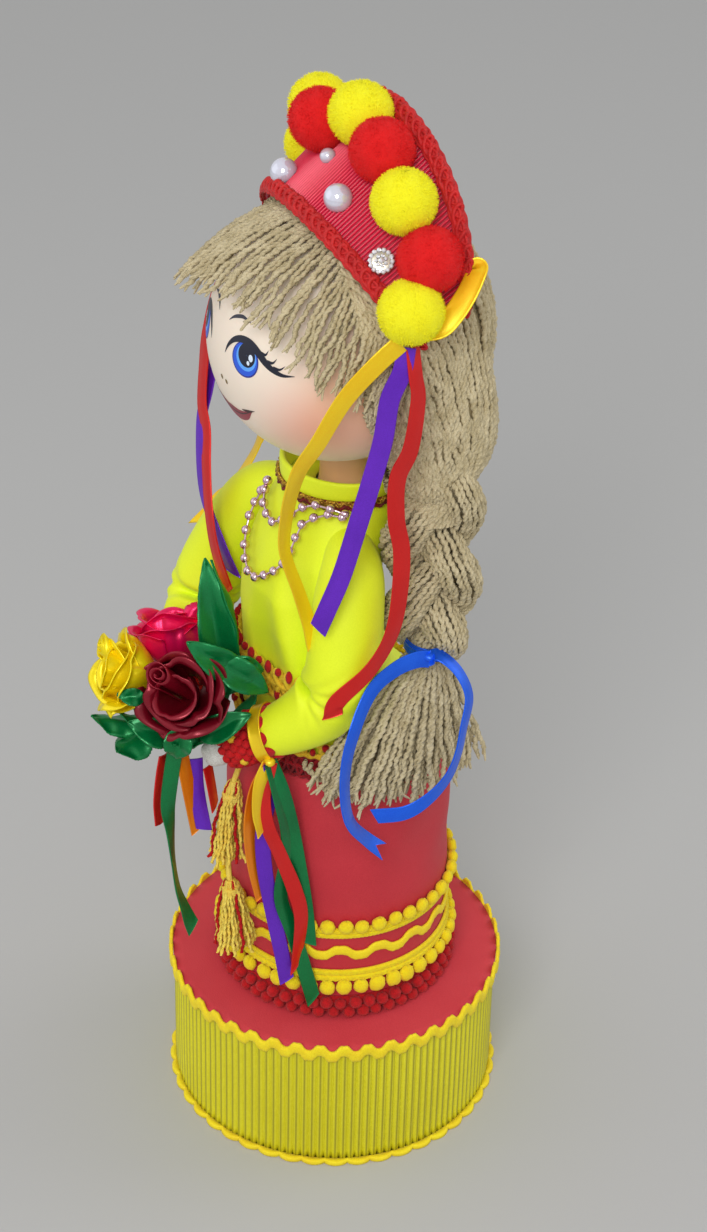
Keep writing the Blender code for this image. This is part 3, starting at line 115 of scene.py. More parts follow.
level = add_node(room.node_tree, "Mix", {"A": ROOM_LIT, "B": ROOM_SHOWN, "Factor": seen})
set_inputs(room.node_tree.nodes["Background"], {"Color": (1.0, 1.0, 1.0, 1.0), "Strength": level})
bpy.context.scene.world = room
bpy.context.scene.view_settings.view_transform = "Standard"

floor = put("studio_floor", bpy.data.meshes.new("studio_floor"))
floor.data.from_pydata([(x * FLOOR_HALF, y * FLOOR_HALF, 0.0) for x,
                        y in ((-1, -1), (1, -1), (1, 1), (-1, 1))],
                       [], [(0, 1, 2, 3)])
floor.data.materials.append(new_material("studio_paper",
                                         {"Base Color": (0.50, 0.50, 0.495, 1.0), "Roughness": 0.9}))


# Stand: a disc of white foam in a wall of ribbed yellow-green card, with a red foam sheet on top and
# yellow ric-rac glued round the top edge and the foot. The card's flutes run straight up.
CARD_INNER, CARD_CREST, CARD_HEIGHT, CARD_RIBS = 56.4, 57.9, 52.7, 130
SHEET_RADIUS, SHEET_LOW, SHEET_HIGH = 58.1, 52.75, 53.5
EDGE_TRIM, EDGE_WAVES = (58.25, 52.3, 1.45), 45
FOOT_RADIUS, FOOT_HEIGHT, FOOT_SWING = 58.3, 1.9, 1.5
TRIM_YELLOW = (255, 236, 20), (250, 216, 12)
FOAM = (238, 238, 232), (214, 214, 206), 90.0, 2200.0, 0.9, 0.5
WOOD = (214, 180, 132), (186, 148, 100), 60.0, 800.0, 0.6, 0.2


def srgb(red, green, blue):
    """A colour named by its screen values, in Blender's linear ones."""
    shares = (value / 255.0 for value in (red, green, blue))
    return tuple(((s + 0.055) / 1.055) ** 2.4 if s > 0.04 else s / 12.92 for s in shares) + (1.0,)


def mottle_group():
    """Colour that drifts between two tones, with a fine height, as dyed fibre and foam have."""
    group = bpy.data.node_groups.new("fibre_mottle", "ShaderNodeTree")
    for way, name, kind in (("INPUT", "Light", "Color"), ("INPUT", "Dark", "Color"),
                            ("INPUT", "Patch", "Float"),
                            ("INPUT", "Grain", "Float"), ("OUTPUT", "Color", "Color"), ("OUTPUT", "Height",
                                                                                        "Float")):
        group.interface.new_socket(name, in_out=way, socket_type="NodeSocket" + kind)
    given, place = group.nodes.new("NodeGroupInput").outputs, add_node(group, "TexCoord").outputs["Object"]
    patch, grain = (add_node(group, "TexNoise", {"Vector": place, "Scale": given[scale], "Detail": detail})
                    for scale, detail in (("Patch", 3.0), ("Grain", 2.0)))
    both = add_node(group, "Math", {0: patch, 1: grain}, operation="ADD")
    spread = add_node(group, "MapRange", {"Value": both, "From Min": 0.75, "From Max": 1.25})
    tone = add_node(group, "Mix", {"Factor": spread, "A": given["Light"], "B": given["Dark"]},
                    data_type="RGBA")
    set_inputs(group.nodes.new("NodeGroupOutput"), {"Color": tone, "Height": grain})
    return group


MOTTLE = mottle_group()


def cloth_finish(name, light, dark, patch=60.0, grain=1500.0, roughness=0.4, relief=0.0, sheen=0.0,
                 metallic=0.0):
    """A fibre, foam, card or paint finish: two tones that drift, and a fine relief."""
    made = new_material(name, {"Roughness": roughness, "Metallic": metallic, "Sheen Weight": sheen})
    mottle = add_node(made.node_tree, "Group", {"Light": srgb(*light), "Dark": srgb(*dark), "Patch": patch,
                                                "Grain": grain}, node_tree=MOTTLE)
    bump = add_node(made.node_tree, "Bump",
                    {"Height": mottle.outputs["Height"], "Strength": relief, "Distance": 0.0004})
    set_inputs(made.node_tree.nodes["Principled BSDF"], {"Base Color": mottle, "Normal": bump})
    return made


def grooved(made, waves, groove, phase=0.0, tilt=0.0, shift=(0.0, 0.0, 0.0)):
    """Darken the grooves of a fluted wall that stands round an axis, where less light comes back."""
    tree = made.node_tree
    place = add_node(tree, "TexCoord").outputs["Object"]
    upright = add_node(tree, "Mapping", {"Vector": place, "Rotation": (tilt, 0.0, 0.0), "Location": shift})
    last = add_node(tree, "TexGradient", {"Vector": upright}, gradient_type="RADIAL").outputs["Fac"]
    for operation, value in (("MULTIPLY", waves * math.tau), ("ADD", phase), ("COSINE", 0.0),
                             ("ABSOLUTE", 0.0)):
        last = add_node(tree, "Math", {0: last, 1: value}, operation=operation)
    lit = add_node(tree, "MapRange", {"Value": last, "From Max": 0.6})
    shader = tree.nodes["Principled BSDF"]
    plain = shader.inputs["Base Color"].links[0].from_socket
    tone = add_node(tree, "Mix", {"A": srgb(*groove), "Factor": lit, "B": plain}, data_type="RGBA")
    set_inputs(shader, {"Base Color": tone})


def stack(parts):
    """Join (points, faces) pairs into one pair."""
    points, faces, start = [], [], 0
    for part_points, part_faces in parts:
        points.append(part_points)
        faces.append(np.asarray(part_faces) + start)
        start += len(part_points)
    return np.concatenate(points), np.concatenate(faces)


def add_piece(name, shape, finish, node=None, body="doll", thickness=0.0):
    """Make one piece from (points, faces) or a list of such pairs. It rides on a body, or on none, and
    may stand for a solid."""
    points, faces = stack(shape) if isinstance(shape, list) else shape
    made = put(name, bpy.data.meshes.new(name))
    made.data.from_pydata((np.asarray(points, float) * MM).tolist(), [], np.asarray(faces).tolist())
    made.data.shade_smooth()
    made.data.materials.append(finish)
    if thickness:
        step = made.modifiers.new("thickness", "SOLIDIFY")
        step.thickness, step.offset = thickness * MM, 0.0
    if body:
        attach(made, body)
    if node:
        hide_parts(node)
    return made


def full_turn(count):
    """Equal steps round a circle."""
    return np.linspace(0.0, math.tau, count, endpoint=False)


def grid_faces(rows, columns, round_rows=False, round_columns=False):
    """Quads over a grid of points stored row by row."""
    r, c = (grid.ravel() for grid in np.meshgrid(np.arange(rows if round_rows else rows - 1),
                                                 np.arange(columns if round_columns else columns
                                                           - 1), indexing="ij"))
    up, over = (r + 1) % rows, (c + 1) % columns
    return np.stack((r * columns + c, r * columns + over, up * columns + over, up * columns + c), 1)


def wall(inner, outer, levels):
    """A closed section: down the inner face and up the outer one."""
    down, rise = (np.stack(np.broadcast_arrays(face, levels), -1) for face in (inner, outer))
    return np.concatenate((down[::-1], rise))


def round_axis(radius, turn, height):
    """A place round the doll's middle line, turned from the front towards the left hand."""
    return np.stack(np.broadcast_arrays(radius * np.sin(turn), -radius * np.cos(turn), height), -1)


def turned(section, around, shape_at=None):
    """Turn a closed section of (radius, height) points about Z; shape_at can move each point."""
    section = np.asarray(section, float)
    radius, angle = np.meshgrid(section[:, 0], full_turn(around))
    height = np.broadcast_to(section[:, 1], radius.shape)
    if shape_at:
        radius, height = shape_at(radius, height, angle)
    return round_axis(radius, angle, height).reshape(-1, 3), grid_faces(around, len(section), True, True)


def card_flute(radius, height, angle):
    """The card's outer face rises and falls in round ribs; its inner face is plain."""
    rib = np.abs(np.cos(angle * CARD_RIBS / 2.0)) ** 0.7
    lean = 0.06 * np.sin(height / 9.0 + angle * 3.0) + 0.05 * np.sin(angle * 17.0)
    outer = np.minimum(CARD_CREST - 1.25 * (1.0 - rib) + lean - 0.12, CARD_CREST)
    return np.where(radius > CARD_INNER + 0.5, outer, radius), height


def ricrac(radius, middle, swing, waves, width, thickness):
    """Woven zigzag braid round a ring: a padded strip whose middle line rises and falls."""
    across = np.linspace(-1.0, 1.0, 7)
    crown = thickness * (0.55 + 0.45 * np.sqrt(1.0 - across ** 2 * 0.96))

    def wave(r, z, angle):
        phase = angle * waves
        slope = swing * waves / radius * np.cos(phase)
        centre = middle + swing * (np.sin(phase) + 0.12 * np.sin(phase * 3.0))
        ridge = 0.10 * np.cos(phase * 7.0 + z * 3.0) * (r > radius + 0.1)
        return r + ridge * thickness, centre + z * width / 2.0 * np.sqrt(1.0 + slope ** 2 * 0.35)
    return turned(wall(radius, radius + crown, across), waves * 24, wave)


for node, name, look in (("stand_foam", "foam_disc", FOAM), ("skirt_core", "foam_skirt_core", FOAM),
                         ("torso_core", "foam_torso", FOAM), ("spine_dowel", "pale_wood", WOOD)):
    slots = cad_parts[node].data.materials
    slots.clear()
    slots.append(cloth_finish(name, *look))

card = cloth_finish("fluted_card", (232, 226, 40), (222, 214, 30), 30.0, 900.0, 0.42)
grooved(card, CARD_RIBS / 2.0, (150, 140, 8))
add_piece("ribbed_card_wall",
          turned(wall(CARD_INNER, CARD_CREST, np.linspace(0.0, CARD_HEIGHT, 12)), CARD_RIBS * 10,
                                     card_flute), card, "stand_card_wall")

foam_sheet = cloth_finish("red_foam_sheet", (214, 62, 72), (206, 50, 62), 35.0, 2600.0, 0.75, 0.35, 0.045)
disc = wall(SHEET_LOW, SHEET_HIGH, np.linspace(4.0, SHEET_RADIUS, 16))[:, ::-1]
top_sheet = turned(disc, 96, lambda r, z,
                   a: (r, z - 0.10 - 0.10 * np.sin(a * 2.0 + r / 9.0) * (z > SHEET_LOW + 0.5)))
add_piece("stand_top_cloth", top_sheet, foam_sheet, "stand_top_sheet")

braid_yellow = cloth_finish("yellow_woven_braid", *TRIM_YELLOW, 120.0, 2600.0, 0.7, 0.5, 0.06)
add_piece("stand_edge_ricrac", ricrac(*EDGE_TRIM, EDGE_WAVES, 4.2, 1.3), braid_yellow,
          "stand_top_trim")
foot = [(-0.2, 0.1), (0.2, 0.0), (0.7, 0.2), (0.7, FOOT_HEIGHT - 0.3), (0.2, FOOT_HEIGHT),
        (-0.2, FOOT_HEIGHT)]
scallops = turned(np.array(foot) + (FOOT_RADIUS, 0.0), EDGE_WAVES * 16, lambda r, z, a: (
    r + FOOT_SWING * np.abs(np.cos(a * EDGE_WAVES / 2.0)) ** 0.7 * (r > FOOT_RADIUS) - 0.6, z))
add_piece("stand_foot_ricrac", scallops, braid_yellow, "stand_foot_trim")


# Skirt: a column of the same red foam sheet, a little dented, with rows of shop-bought trim round it:
# two rows of red balls at the floor, yellow balls under a tape, ric-rac, and yellow balls standing up.
SKIRT_RADIUS, SKIRT_THICKNESS, WAIST_RADIUS = 38.8, 2.6, 33.5
SKIRT_HEM, SKIRT_TURN, SKIRT_TOP = 57.7, 132.0, 150.0
RED_PLACE, RED_ROWS, RED_BALL, RED_COUNT = 41.0, (55.9, 59.6), 2.15, 52
HEM_BALLS, UPPER_BALLS = (41.1, 66.9, 2.85, 43), (40.8, 93.6, 2.6, 43)
RICRAC_ROW = 39.0, 81.0, 1.45, 18, 3.6, 1.0


def skirt_dent(radius, height, angle):
    """Soft dents in the foam, none at the trims and the waist."""
    depth = 0.55 * np.sin(angle * 3.0 + height / 14.0) * np.sin(height / 11.0 + 1.0)
    depth += 0.35 * np.sin(angle * 7.0 - height / 8.0) * np.clip((height - 98.0) / 20.0, 0.0, 1.0)
    edge = np.clip((SKIRT_TOP - height) / 14.0, 0.0, 1.0) * np.clip((height - 97.0) / 9.0, 0.0, 1.0)
    return radius + (depth - 0.4) * edge, height


def unit_ball(rows, columns):
    """A ball of radius one as a grid, closed at its poles by small rings."""
    tilt, turn = np.meshgrid(np.linspace(0.02, math.pi - 0.02, rows), full_turn(columns), indexing="ij")
    points = np.stack((np.sin(tilt) * np.cos(turn), np.sin(tilt) * np.sin(turn), np.cos(tilt)),
                      -1).reshape(-1, 3)
    cap = np.array((0, columns // 4, columns // 2, columns * 3 // 4))
    return points, np.concatenate((grid_faces(rows, columns, False, True)[:, ::-1],
                                   (cap, len(points) - 1 - cap)))


def smooth_ball(centre, size, rows=20, columns=28):
    """A bead, or with three sizes an egg."""
    points, faces = unit_ball(rows, columns)
    return np.asarray(centre) + points * size, faces


def woolly_ball(centre, radius, seed, rows=10, columns=16, rough=0.04):
    """A little cut-pile ball, slightly lumpy."""
    points, faces = unit_ball(rows, columns)
    lumps = np.random.default_rng(seed).normal(0.0, rough, len(points))
    return np.asarray(centre) + points * radius * (1.0 + lumps[:, None]), faces


def ball_row(radius_out, height, ball, count, seed, shift=0.0, squash=(1.0, 1.0)):
    """Balls set round the skirt; squash is how deep and how tall each is, as shares of its radius."""
    parts = []
    draw = np.random.default_rng(seed)
    for number in range(count):
        turn = (number + shift) / count * math.tau + draw.normal(0.0, 0.004)
        points, faces = woolly_ball((0.0, 0.0, 0.0), ball * draw.uniform(0.93, 1.07), seed * 100 + number)
        across, out = np.array((math.cos(turn), math.sin(turn), 0.0)), np.array((math.sin(turn),
                                                                                 -math.cos(turn), 0.0))
        place = out * radius_out + UP * (height + draw.normal(0.0, 0.15))
        parts.append((points * (1.0, *squash) @ np.array((across, out, UP)) + place, faces))
    return parts


def trim_tape(radius, low, high, thickness, braids):
    """A woven tape round the skirt with a herringbone relief."""
    middle, half = (low + high) / 2.0, (high - low) / 2.0

    def relief(r, z, angle):
        ridge = np.abs(np.sin(angle * braids + np.abs(z - middle) * 2.0))
        edge = 1.0 - (np.abs(z - middle) / half) ** 4 * 0.6
        return np.where(r > radius, radius + thickness * edge * (0.72 + 0.28 * ridge), r), z
    return turned(wall(radius, radius + thickness, np.linspace(low, high, 9)), 540, relief)


skirt_foam = cloth_finish("skirt_foam_sheet", (204, 46, 58), (194, 36, 50), 30.0, 2600.0, 0.7, 0.35, 0.045)
levels = np.concatenate((np.linspace(SKIRT_HEM, SKIRT_TURN, 30), np.linspace(SKIRT_TURN, SKIRT_TOP, 9)[1:]))
draw_in = np.clip((levels - SKIRT_TURN) / (SKIRT_TOP - SKIRT_TURN), 0.0, 1.0) ** 1.6
outer = SKIRT_RADIUS - draw_in * (SKIRT_RADIUS - WAIST_RADIUS)
add_piece("skirt_cloth", turned(wall(outer - SKIRT_THICKNESS, outer, levels), 180, skirt_dent), skirt_foam,
          "skirt")
PILE = 700.0, 3000.0, 0.95, 0.9, 0.09
pile_red, pile_yellow = (cloth_finish(name + "_cut_pile", *tones, *PILE) for name, tones in (
    ("red", ((206, 12, 22), (168, 4, 12))), ("yellow", TRIM_YELLOW)))
add_piece("red_ball_trim", ball_row(RED_PLACE, RED_ROWS[0], RED_BALL, RED_COUNT, 1)
          + ball_row(RED_PLACE, RED_ROWS[1], RED_BALL, RED_COUNT, 2,
                     0.5) + [trim_tape(38.9, 54.2, 61.3, 1.2, 52)],
          pile_red, "hem_red_trim")
add_piece("hem_ball_trim", ball_row(*HEM_BALLS, 3, 0.0, (0.75, 1.05)) + [
    trim_tape(39.0, 68.6, 71.2, 1.6, 60), trim_tape(39.0, 71.0, 73.4, 1.3,
                                                    90)], pile_yellow, "hem_yellow_trim")
add_piece("skirt_ricrac_braid", ricrac(*RICRAC_ROW), braid_yellow, "skirt_ricrac")
add_piece("upper_ball_trim", ball_row(*UPPER_BALLS, 4, 0.0, (0.72, 1.0)) + [
    trim_tape(39.0, 87.6, 89.9, 1.3, 90), trim_tape(39.0, 89.7, 92.0, 1.6,
                                                    60)], pile_yellow, "upper_yellow_trim")


# Belt and the blouse's hem: dark red crochet lace round the waist, and over it a thick yellow crochet
# edging with red knots. Both are cords worked into loops, so each is made of cords.
BELT_RADIUS, BELT_LOW, BELT_MIDDLE, BELT_HIGH = 33.9, 150.9, 154.95, 159.0
HEM_RADIUS, HEM_LOW, HEM_MIDDLE, HEM_HIGH, HEM_LOOPS = 35.5, 160.6, 163.1, 165.6, 26
CROCHET = 300.0, 2600.0, 0.9, 0.7


def norm_rows(vectors):
    """Each row at length one."""
    return vectors / np.maximum(np.linalg.norm(vectors, axis=-1, keepdims=True), 1e-9)


def frames_along(route, closed=False):
    """Headings along a route, and two directions square to each, carried along without twist."""
    run = norm_rows(np.roll(route, -1, 0) - np.roll(route, 1, 0) if closed else np.gradient(route, axis=0))
    side = np.empty_like(run)
    guess = np.cross(run[0], UP)
    if np.linalg.norm(guess) < 0.2:
        guess = np.cross(run[0], (0.0, 1.0, 0.0))
    side[0] = norm_rows(guess)
    for i in range(1, len(run)):
        side[i] = norm_rows(side[i - 1] - run[i] * side[i - 1].dot(run[i]))
    return run, side, np.cross(run, side)


def between(first, second, turn):
    """Directions turned from the first towards the second."""
    turn = np.asarray(turn)[..., None]
    return np.cos(turn) * first + np.sin(turn) * second


def cord_tube(route, radius, sides=6, closed=False):
    """A round cord along a route; radius is one number or one for each point."""
    _, side, other = frames_along(route, closed)
    radii = np.broadcast_to(radius, (len(route),))[:, None, None]
    points = route[:, None] + between(side[:, None], other[:, None], full_turn(sides)) * radii
    return points.reshape(-1, 3), grid_faces(len(route), sides, closed, True)


def ring_route(radius, middle, swing, waves, phase=0.0, depth=0.0):
    """A closed line round the waist that rises and falls, and weaves in and out."""
    turn = full_turn(waves * 14)
    return round_axis(radius + depth * np.cos(turn * waves + phase), turn, middle
                      + swing * np.sin(turn * waves + phase))


lace = cloth_finish("red_crochet_lace", (176, 10, 26), (124, 2, 12), *CROCHET, 0.06)
belt = [cord_tube(ring_route(BELT_RADIUS, BELT_MIDDLE, (BELT_HIGH - BELT_LOW) * 0.425, 34, phase, 0.25), 0.55,
                  6, True)
        for phase in (0.0, math.pi)]
belt += [cord_tube(ring_route(BELT_RADIUS, level, 0.35, 68), 0.65, 6, True)
         for level in (BELT_LOW, BELT_MIDDLE, BELT_HIGH)]
belt += [trim_tape(32.7, BELT_LOW - 0.2, BELT_HIGH, 0.6, 40)]
belt += ball_row(BELT_RADIUS, BELT_MIDDLE, 1.0, 68, 5, 0.25, (0.8, 0.9))
add_piece("lace_belt_crochet", belt, lace, "lace_belt")

crochet_yellow = cloth_finish("yellow_crochet", (252, 222, 60), (238, 188, 36), *CROCHET)
t = np.linspace(0.0, HEM_LOOPS, HEM_LOOPS * 16, endpoint=False) * math.tau
loops = round_axis(HEM_RADIUS + 0.5 * np.cos(t), t / HEM_LOOPS - 0.11 * np.sin(t), HEM_MIDDLE
                   + 2.0 * np.cos(t))
hem = [cord_tube(loops, 0.75, 6, True)]
hem += [cord_tube(ring_route(HEM_RADIUS - 0.3, level, 0.3, 60), size, 6, True)
        for level, size in ((HEM_LOW + 0.2, 0.85), (HEM_HIGH - 0.2, 0.75))]
add_piece("blouse_hem_crochet", hem, crochet_yellow, "blouse_hem_trim")
add_piece("blouse_hem_knots", ball_row(HEM_RADIUS + 0.5, HEM_HIGH - 0.3, 1.3, HEM_LOOPS, 6, 0.0, (0.8, 1.0))
          + ball_row(HEM_RADIUS + 0.5, HEM_MIDDLE - 0.2, 1.0, HEM_LOOPS, 7, 0.5,
                     (0.8, 1.5)), pile_red)


# Blouse: neon yellow-green knit over the foam torso, pulled into soft folds under the arms and at the
# waist. The collar is a stand-up roll of the same knit with a gold and red braid glued at its foot.
BLOUSE_WAIST, BLOUSE_RISE = 160.0, 87.0
CHEST_WIDE, CHEST_DEEP, CHEST_FORWARD = 29.0, 20.5, 11.5
CHEST_SHARES = ((0.00, 0.07, 0.14, 0.24, 0.36, 0.50, 0.64, 0.78, 0.90, 0.97, 1.00),
                (1.16, 1.12, 0.98, 0.98, 1.01, 1.02, 1.02, 1.00, 0.88, 0.78, 0.72),
                (1.56, 1.46, 1.22, 1.12, 1.08, 1.05, 1.02, 0.92, 0.92, 0.98, 1.02),
                (0.00, 0.12, 0.36, 0.70, 0.92, 1.02, 1.00, 0.80, 0.42, 0.12, 0.00))
EDGING_TURN, EDGING_LOOPS, EDGING_LOW, EDGING_CORD = 0.30 * math.pi, 13, 176.5, 183.75
COLLAR_LOW, COLLAR_HEIGHT, COLLAR_OUT, COLLAR_WALL = 247.3, 9.2, 20.5, 1.8


def torso_place(turn, height, proud=0.0):
    """A place on the blouse: turned from the front towards the left hand, at a height."""
    rise = np.clip((height - BLOUSE_WAIST) / BLOUSE_RISE, 0.0, 1.0)
    wide, deep, forward = (np.interp(rise, CHEST_SHARES[0], shares) for shares in CHEST_SHARES[1:])
    x = np.sin(turn) * (wide * CHEST_WIDE + proud)
    y = -np.cos(turn) * (deep * CHEST_DEEP + proud) - forward * CHEST_FORWARD
    return np.stack((x, y, np.broadcast_to(height, np.shape(x))), -1)


def bump(value, middle, width):
    """A soft hump, one high at its middle."""
    return np.exp(-((value - middle) / width) ** 2)


def blouse_folds(turn, height):
    """How far the knit stands out or in, in millimetres."""
    rise = (height - BLOUSE_WAIST) / BLOUSE_RISE
    swell = np.sin(rise * math.pi)
    gathers = 0.55 * np.sin(turn * 9.0 + 2.0 * np.sin(rise * 5.0)) * np.clip(1.0 - rise * 1.6, 0.0, 1.0)
    under_arm = bump(np.abs(turn), 1.25 - rise * 0.35, 0.20) * swell
    belly = 1.1 * bump(turn, rise * 0.5 - 0.30, 0.22) * swell
    pull = 1.7 * bump(turn, 1.05 - rise * 0.85, 0.17) * swell ** 0.7
    drift = 0.3 * np.sin(turn * 4.0 + height / 7.0)
    drag = 0.7 * np.sin(turn * 8.0 + rise * 7.0) * bump(np.abs(turn), 0.75, 0.45) * swell
    return (gathers + belly + pull - under_arm + drift + drag) * np.clip((1.0 - rise) * 6.0, 0.0, 1.0)


knit = cloth_finish("neon_knit", (238, 253, 28), (230, 246, 20), 25.0, 2200.0, 0.62, 0.18, 0.075)
turn, top = np.linspace(-math.pi, math.pi, 200, endpoint=False), BLOUSE_WAIST + BLOUSE_RISE
outer = [torso_place(turn, h, blouse_folds(turn, h) - 0.3) for h in np.linspace(BLOUSE_WAIST + 0.2, top, 80)]
inner = [torso_place(turn, h, -2.6) for h in np.linspace(top - 2.5, BLOUSE_WAIST + 0.2, 20)]
crown = [outer[-1] * (s, s, 1.0) + UP * 0.35 for s in (0.86, 0.62, 0.45)]
rows = outer + crown + [inner[0] * (s, s, 1.0) for s in (0.5, 0.8)] + inner
add_piece("blouse_cloth", (np.concatenate(rows), grid_faces(len(rows), len(turn), True, True)), knit,
          "blouse")

edging, strokes = [], []
for row, (level, reach, lift) in enumerate(((186.6, 3.4, 3.4), (179.6, 3.2, -0.2))):
    t = np.linspace(0.0, EDGING_LOOPS, EDGING_LOOPS * 18)
    turn = (t / EDGING_LOOPS * 2.0 - 1.0) * EDGING_TURN - 0.07 * np.sin(t * math.tau)
    height = level + reach * np.cos(t * math.tau) + 1.2 * np.cos(turn * 2.2)
    edging.append(cord_tube(torso_place(turn, height, 1.5 + 0.5 * np.sin(t * math.tau)), 0.95, 7))
    for number in range(EDGING_LOOPS):
        turn = ((number + 0.5 * row + 0.2) / EDGING_LOOPS * 2.0 - 1.0) * EDGING_TURN
        points, faces = woolly_ball((0.0, 0.0, 0.0), 1.5, number + row * 50)
        points = points * (0.75, 0.75, 1.6 if number % 2 else 1.0)
        strokes.append((torso_place(turn, level + lift + 1.2 * math.cos(turn * 2.2), 2.3) + points, faces))
turn = np.linspace(-EDGING_TURN, EDGING_TURN, 90)
edging += [cord_tube(torso_place(turn, level + 1.2 * np.cos(turn * 2.2), 1.2), 0.9, 7)
           for level in (EDGING_LOW, EDGING_CORD)]
add_piece("front_crochet_edging", edging, crochet_yellow)
add_piece("front_crochet_strokes", strokes, pile_red)

lip = [(COLLAR_OUT - 0.9 + math.cos(a) * 0.9, COLLAR_LOW + COLLAR_HEIGHT - 0.9 + math.sin(a) * 0.9)
       for a in np.linspace(0.0, math.pi, 7)]
roll = lip + [(COLLAR_OUT - COLLAR_WALL, z) for z in np.linspace(COLLAR_LOW + 7.0, COLLAR_LOW, 6)]
roll += [(COLLAR_OUT, z) for z in np.linspace(COLLAR_LOW, COLLAR_LOW + 7.5, 6)]
collar = turned(roll[::-1], 120, lambda r, z, a: (
    r + 0.35 * np.sin(a * 2.0 + z / 3.0) * (z > COLLAR_LOW + 1.0) - 0.2 + 0.06 * (z - COLLAR_LOW),
    z + 0.15 * np.sin(a * 3.0)))
add_piece("collar_roll", collar, knit, "collar")
gold_thread = cloth_finish("gold_thread", (214, 168, 60), (120, 84, 12), 900.0, 2600.0, 0.3, 0.8, 0.0, 0.75)
dark_red_thread = cloth_finish("dark_red_thread", (140, 14, 24), (84, 4, 10), 500.0, 2600.0, 0.7, 0.6, 0.03)
add_piece("collar_braid_gold", [cord_tube(ring_route(21.6, 249.8, 0.75, 30, 0.0, 0.3), 0.5, 6, True),
                                cord_tube(ring_route(21.6, 250.3, 0.4, 60, 1.0, 0.3), 0.42, 6, True)],
          gold_thread, "collar_braid")
add_piece("collar_braid_red", [cord_tube(ring_route(21.5, 248.5, 0.75, 30, 0.0, 0.3), 0.55, 6, True),
                               trim_tape(20.8, 247.5, 250.6, 0.8, 50)], dark_red_thread)


# Head and neck: a smooth moulded ball in satin skin colour, blushed with sprayed paint at the cheeks
# and temples. The face is printed on it in flat colours, so each feature is a thin layer of paint.
HEAD = np.array((0.0, -4.3, 300.5))
HEAD_RADIUS, NECK_RADIUS = 40.0, 8.4
FAR_SIDE_TURN = 2.5
SKIN, PEACH, ROSE, AMBER = (248, 232, 214), (248, 182, 134), (238, 140, 118), (255, 172, 104)
BLUSHES = (((31, -20, -15), 0.029, ROSE, 0.6), ((-31, -20, -15), 0.029, ROSE, 0.6),
           ((40, 2, 2), 0.040, PEACH, 0.9),
           ((-40, 2, 2), 0.040, PEACH, 0.9), ((0, 4, -48), 0.022, AMBER, 0.95))
LASH_LINE = ((6, 5.6), (7.6, 9.6), (10.4, 13.1), (14, 15.2), (18, 15.9), (22.2, 15.2), (26.6, 12.8),
             (31, 9.4),
             (35, 7.2), (39.5, 6), (45, 6.6))
LASH_WIDTHS = (0.2, 1.4, 2.3, 3.0, 3.4, 3.6, 3.5, 3.1, 2.5, 1.6, 0.2)
LASH_SPIKES = (((28.2, 13), (30.4, 13.2), (31.6, 15.4)), ((31.6, 10.2), (34.4, 10.6), (36.2, 12.8)),
               ((34.8, 8.2), (38, 8.4), (40.4, 10.4)))
BROW_LINE = ((4.2, 20.1), (6.5, 22.3), (9.5, 23.8), (13.4, 24.7), (19, 23.8))
LIP_UPPER = ((-22.5, -18.2), (-18, -20.2), (-11, -22.4), (-4.5, -22.6), (0, -23.2), (4.5, -22.6), (11, -22.4),
             (18, -20.2), (22.5, -18.2))
LIP_LOWER = ((-21.5, -18.8), (-16, -26.2), (-8, -30.5), (0, -31.6), (8, -30.5), (16, -26.2), (21.5, -18.8))
MOUTH_LINE = ((-22, -18.4), (-11, -24.6), (0, -26), (11, -24.6), (22, -18.4))
MOUTH_CORNER = ((14, -20.6), (18.5, -19.6), (23.5, -17.6))


def skin_finish():
    """Satin skin, rosier towards two soft spots at the cheeks and warm at the sides."""
    made = new_material("moulded_skin", {"Roughness": 0.42, "Subsurface Weight": 0.08,
                                         "Subsurface Radius": (0.006, 0.003, 0.002)})
    tree, colour = made.node_tree, srgb(*SKIN)
    place = add_node(tree, "TexCoord").outputs["Object"]
    for spot, reach, tint, strength in BLUSHES:
        away = add_node(tree, "VectorMath", {0: place, 1: (HEAD + spot) * MM}, operation="DISTANCE")
        fade = add_node(tree, "MapRange",
                        {"Value": away, "From Max": reach, "To Min": strength, "To Max": 0.0},
                        interpolation_type="SMOOTHSTEP")
        colour = add_node(tree, "Mix", {"A": colour, "B": srgb(*tint), "Factor": fade}, data_type="RGBA")
    set_inputs(tree.nodes["Principled BSDF"], {"Base Color": colour})
    return made


def on_head(east, north, proud):
    """A place on the head from degrees towards the left hand and degrees up."""
    east, north = np.radians(east), np.radians(north)
    return HEAD + round_axis(np.cos(north), east, np.sin(north)) * (HEAD_RADIUS + proud)


def fine_line(points, count):
    """A smooth curve through given points."""
    points = np.asarray(points, float)
    ends = np.concatenate((points[:1] * 2.0 - points[1:2], points, points[-1:] * 2.0 - points[-2:-1]))
    place = np.linspace(0.0, len(points) - 1.0, count)
    i = np.minimum(place.astype(int), len(points) - 2)
    t = (place - i).reshape(-1, *[1] * (points.ndim - 1))
    a, b, c, d = (ends[i + k] for k in range(4))
    return 0.5 * ((-a + 3 * b - 3 * c + d) * t ** 3 + (2 * a - 5 * b + 4 * c - d) * t ** 2 + (c - a) * t
                  + 2 * b)


def painted_stroke(line, widths, proud, mirror=1.0):
    """A brush stroke on the head: a line of (east, north) degrees with a width at each point."""
    route, width = fine_line(line, 40), fine_line(widths, 40)
    run = norm_rows(np.gradient(route, axis=0))
    away = FAR_SIDE_TURN if mirror < 0 else 0.0
    rows = [on_head(mirror * (route[:, 0] - run[:, 1] * width * s + away), route[:, 1]
                    + run[:, 0] * width * s, proud)
            for s in (-0.5, -0.17, 0.17, 0.5)]
    faces = grid_faces(4, 40)
    return np.concatenate(rows), faces if mirror > 0 else faces[:, ::-1]


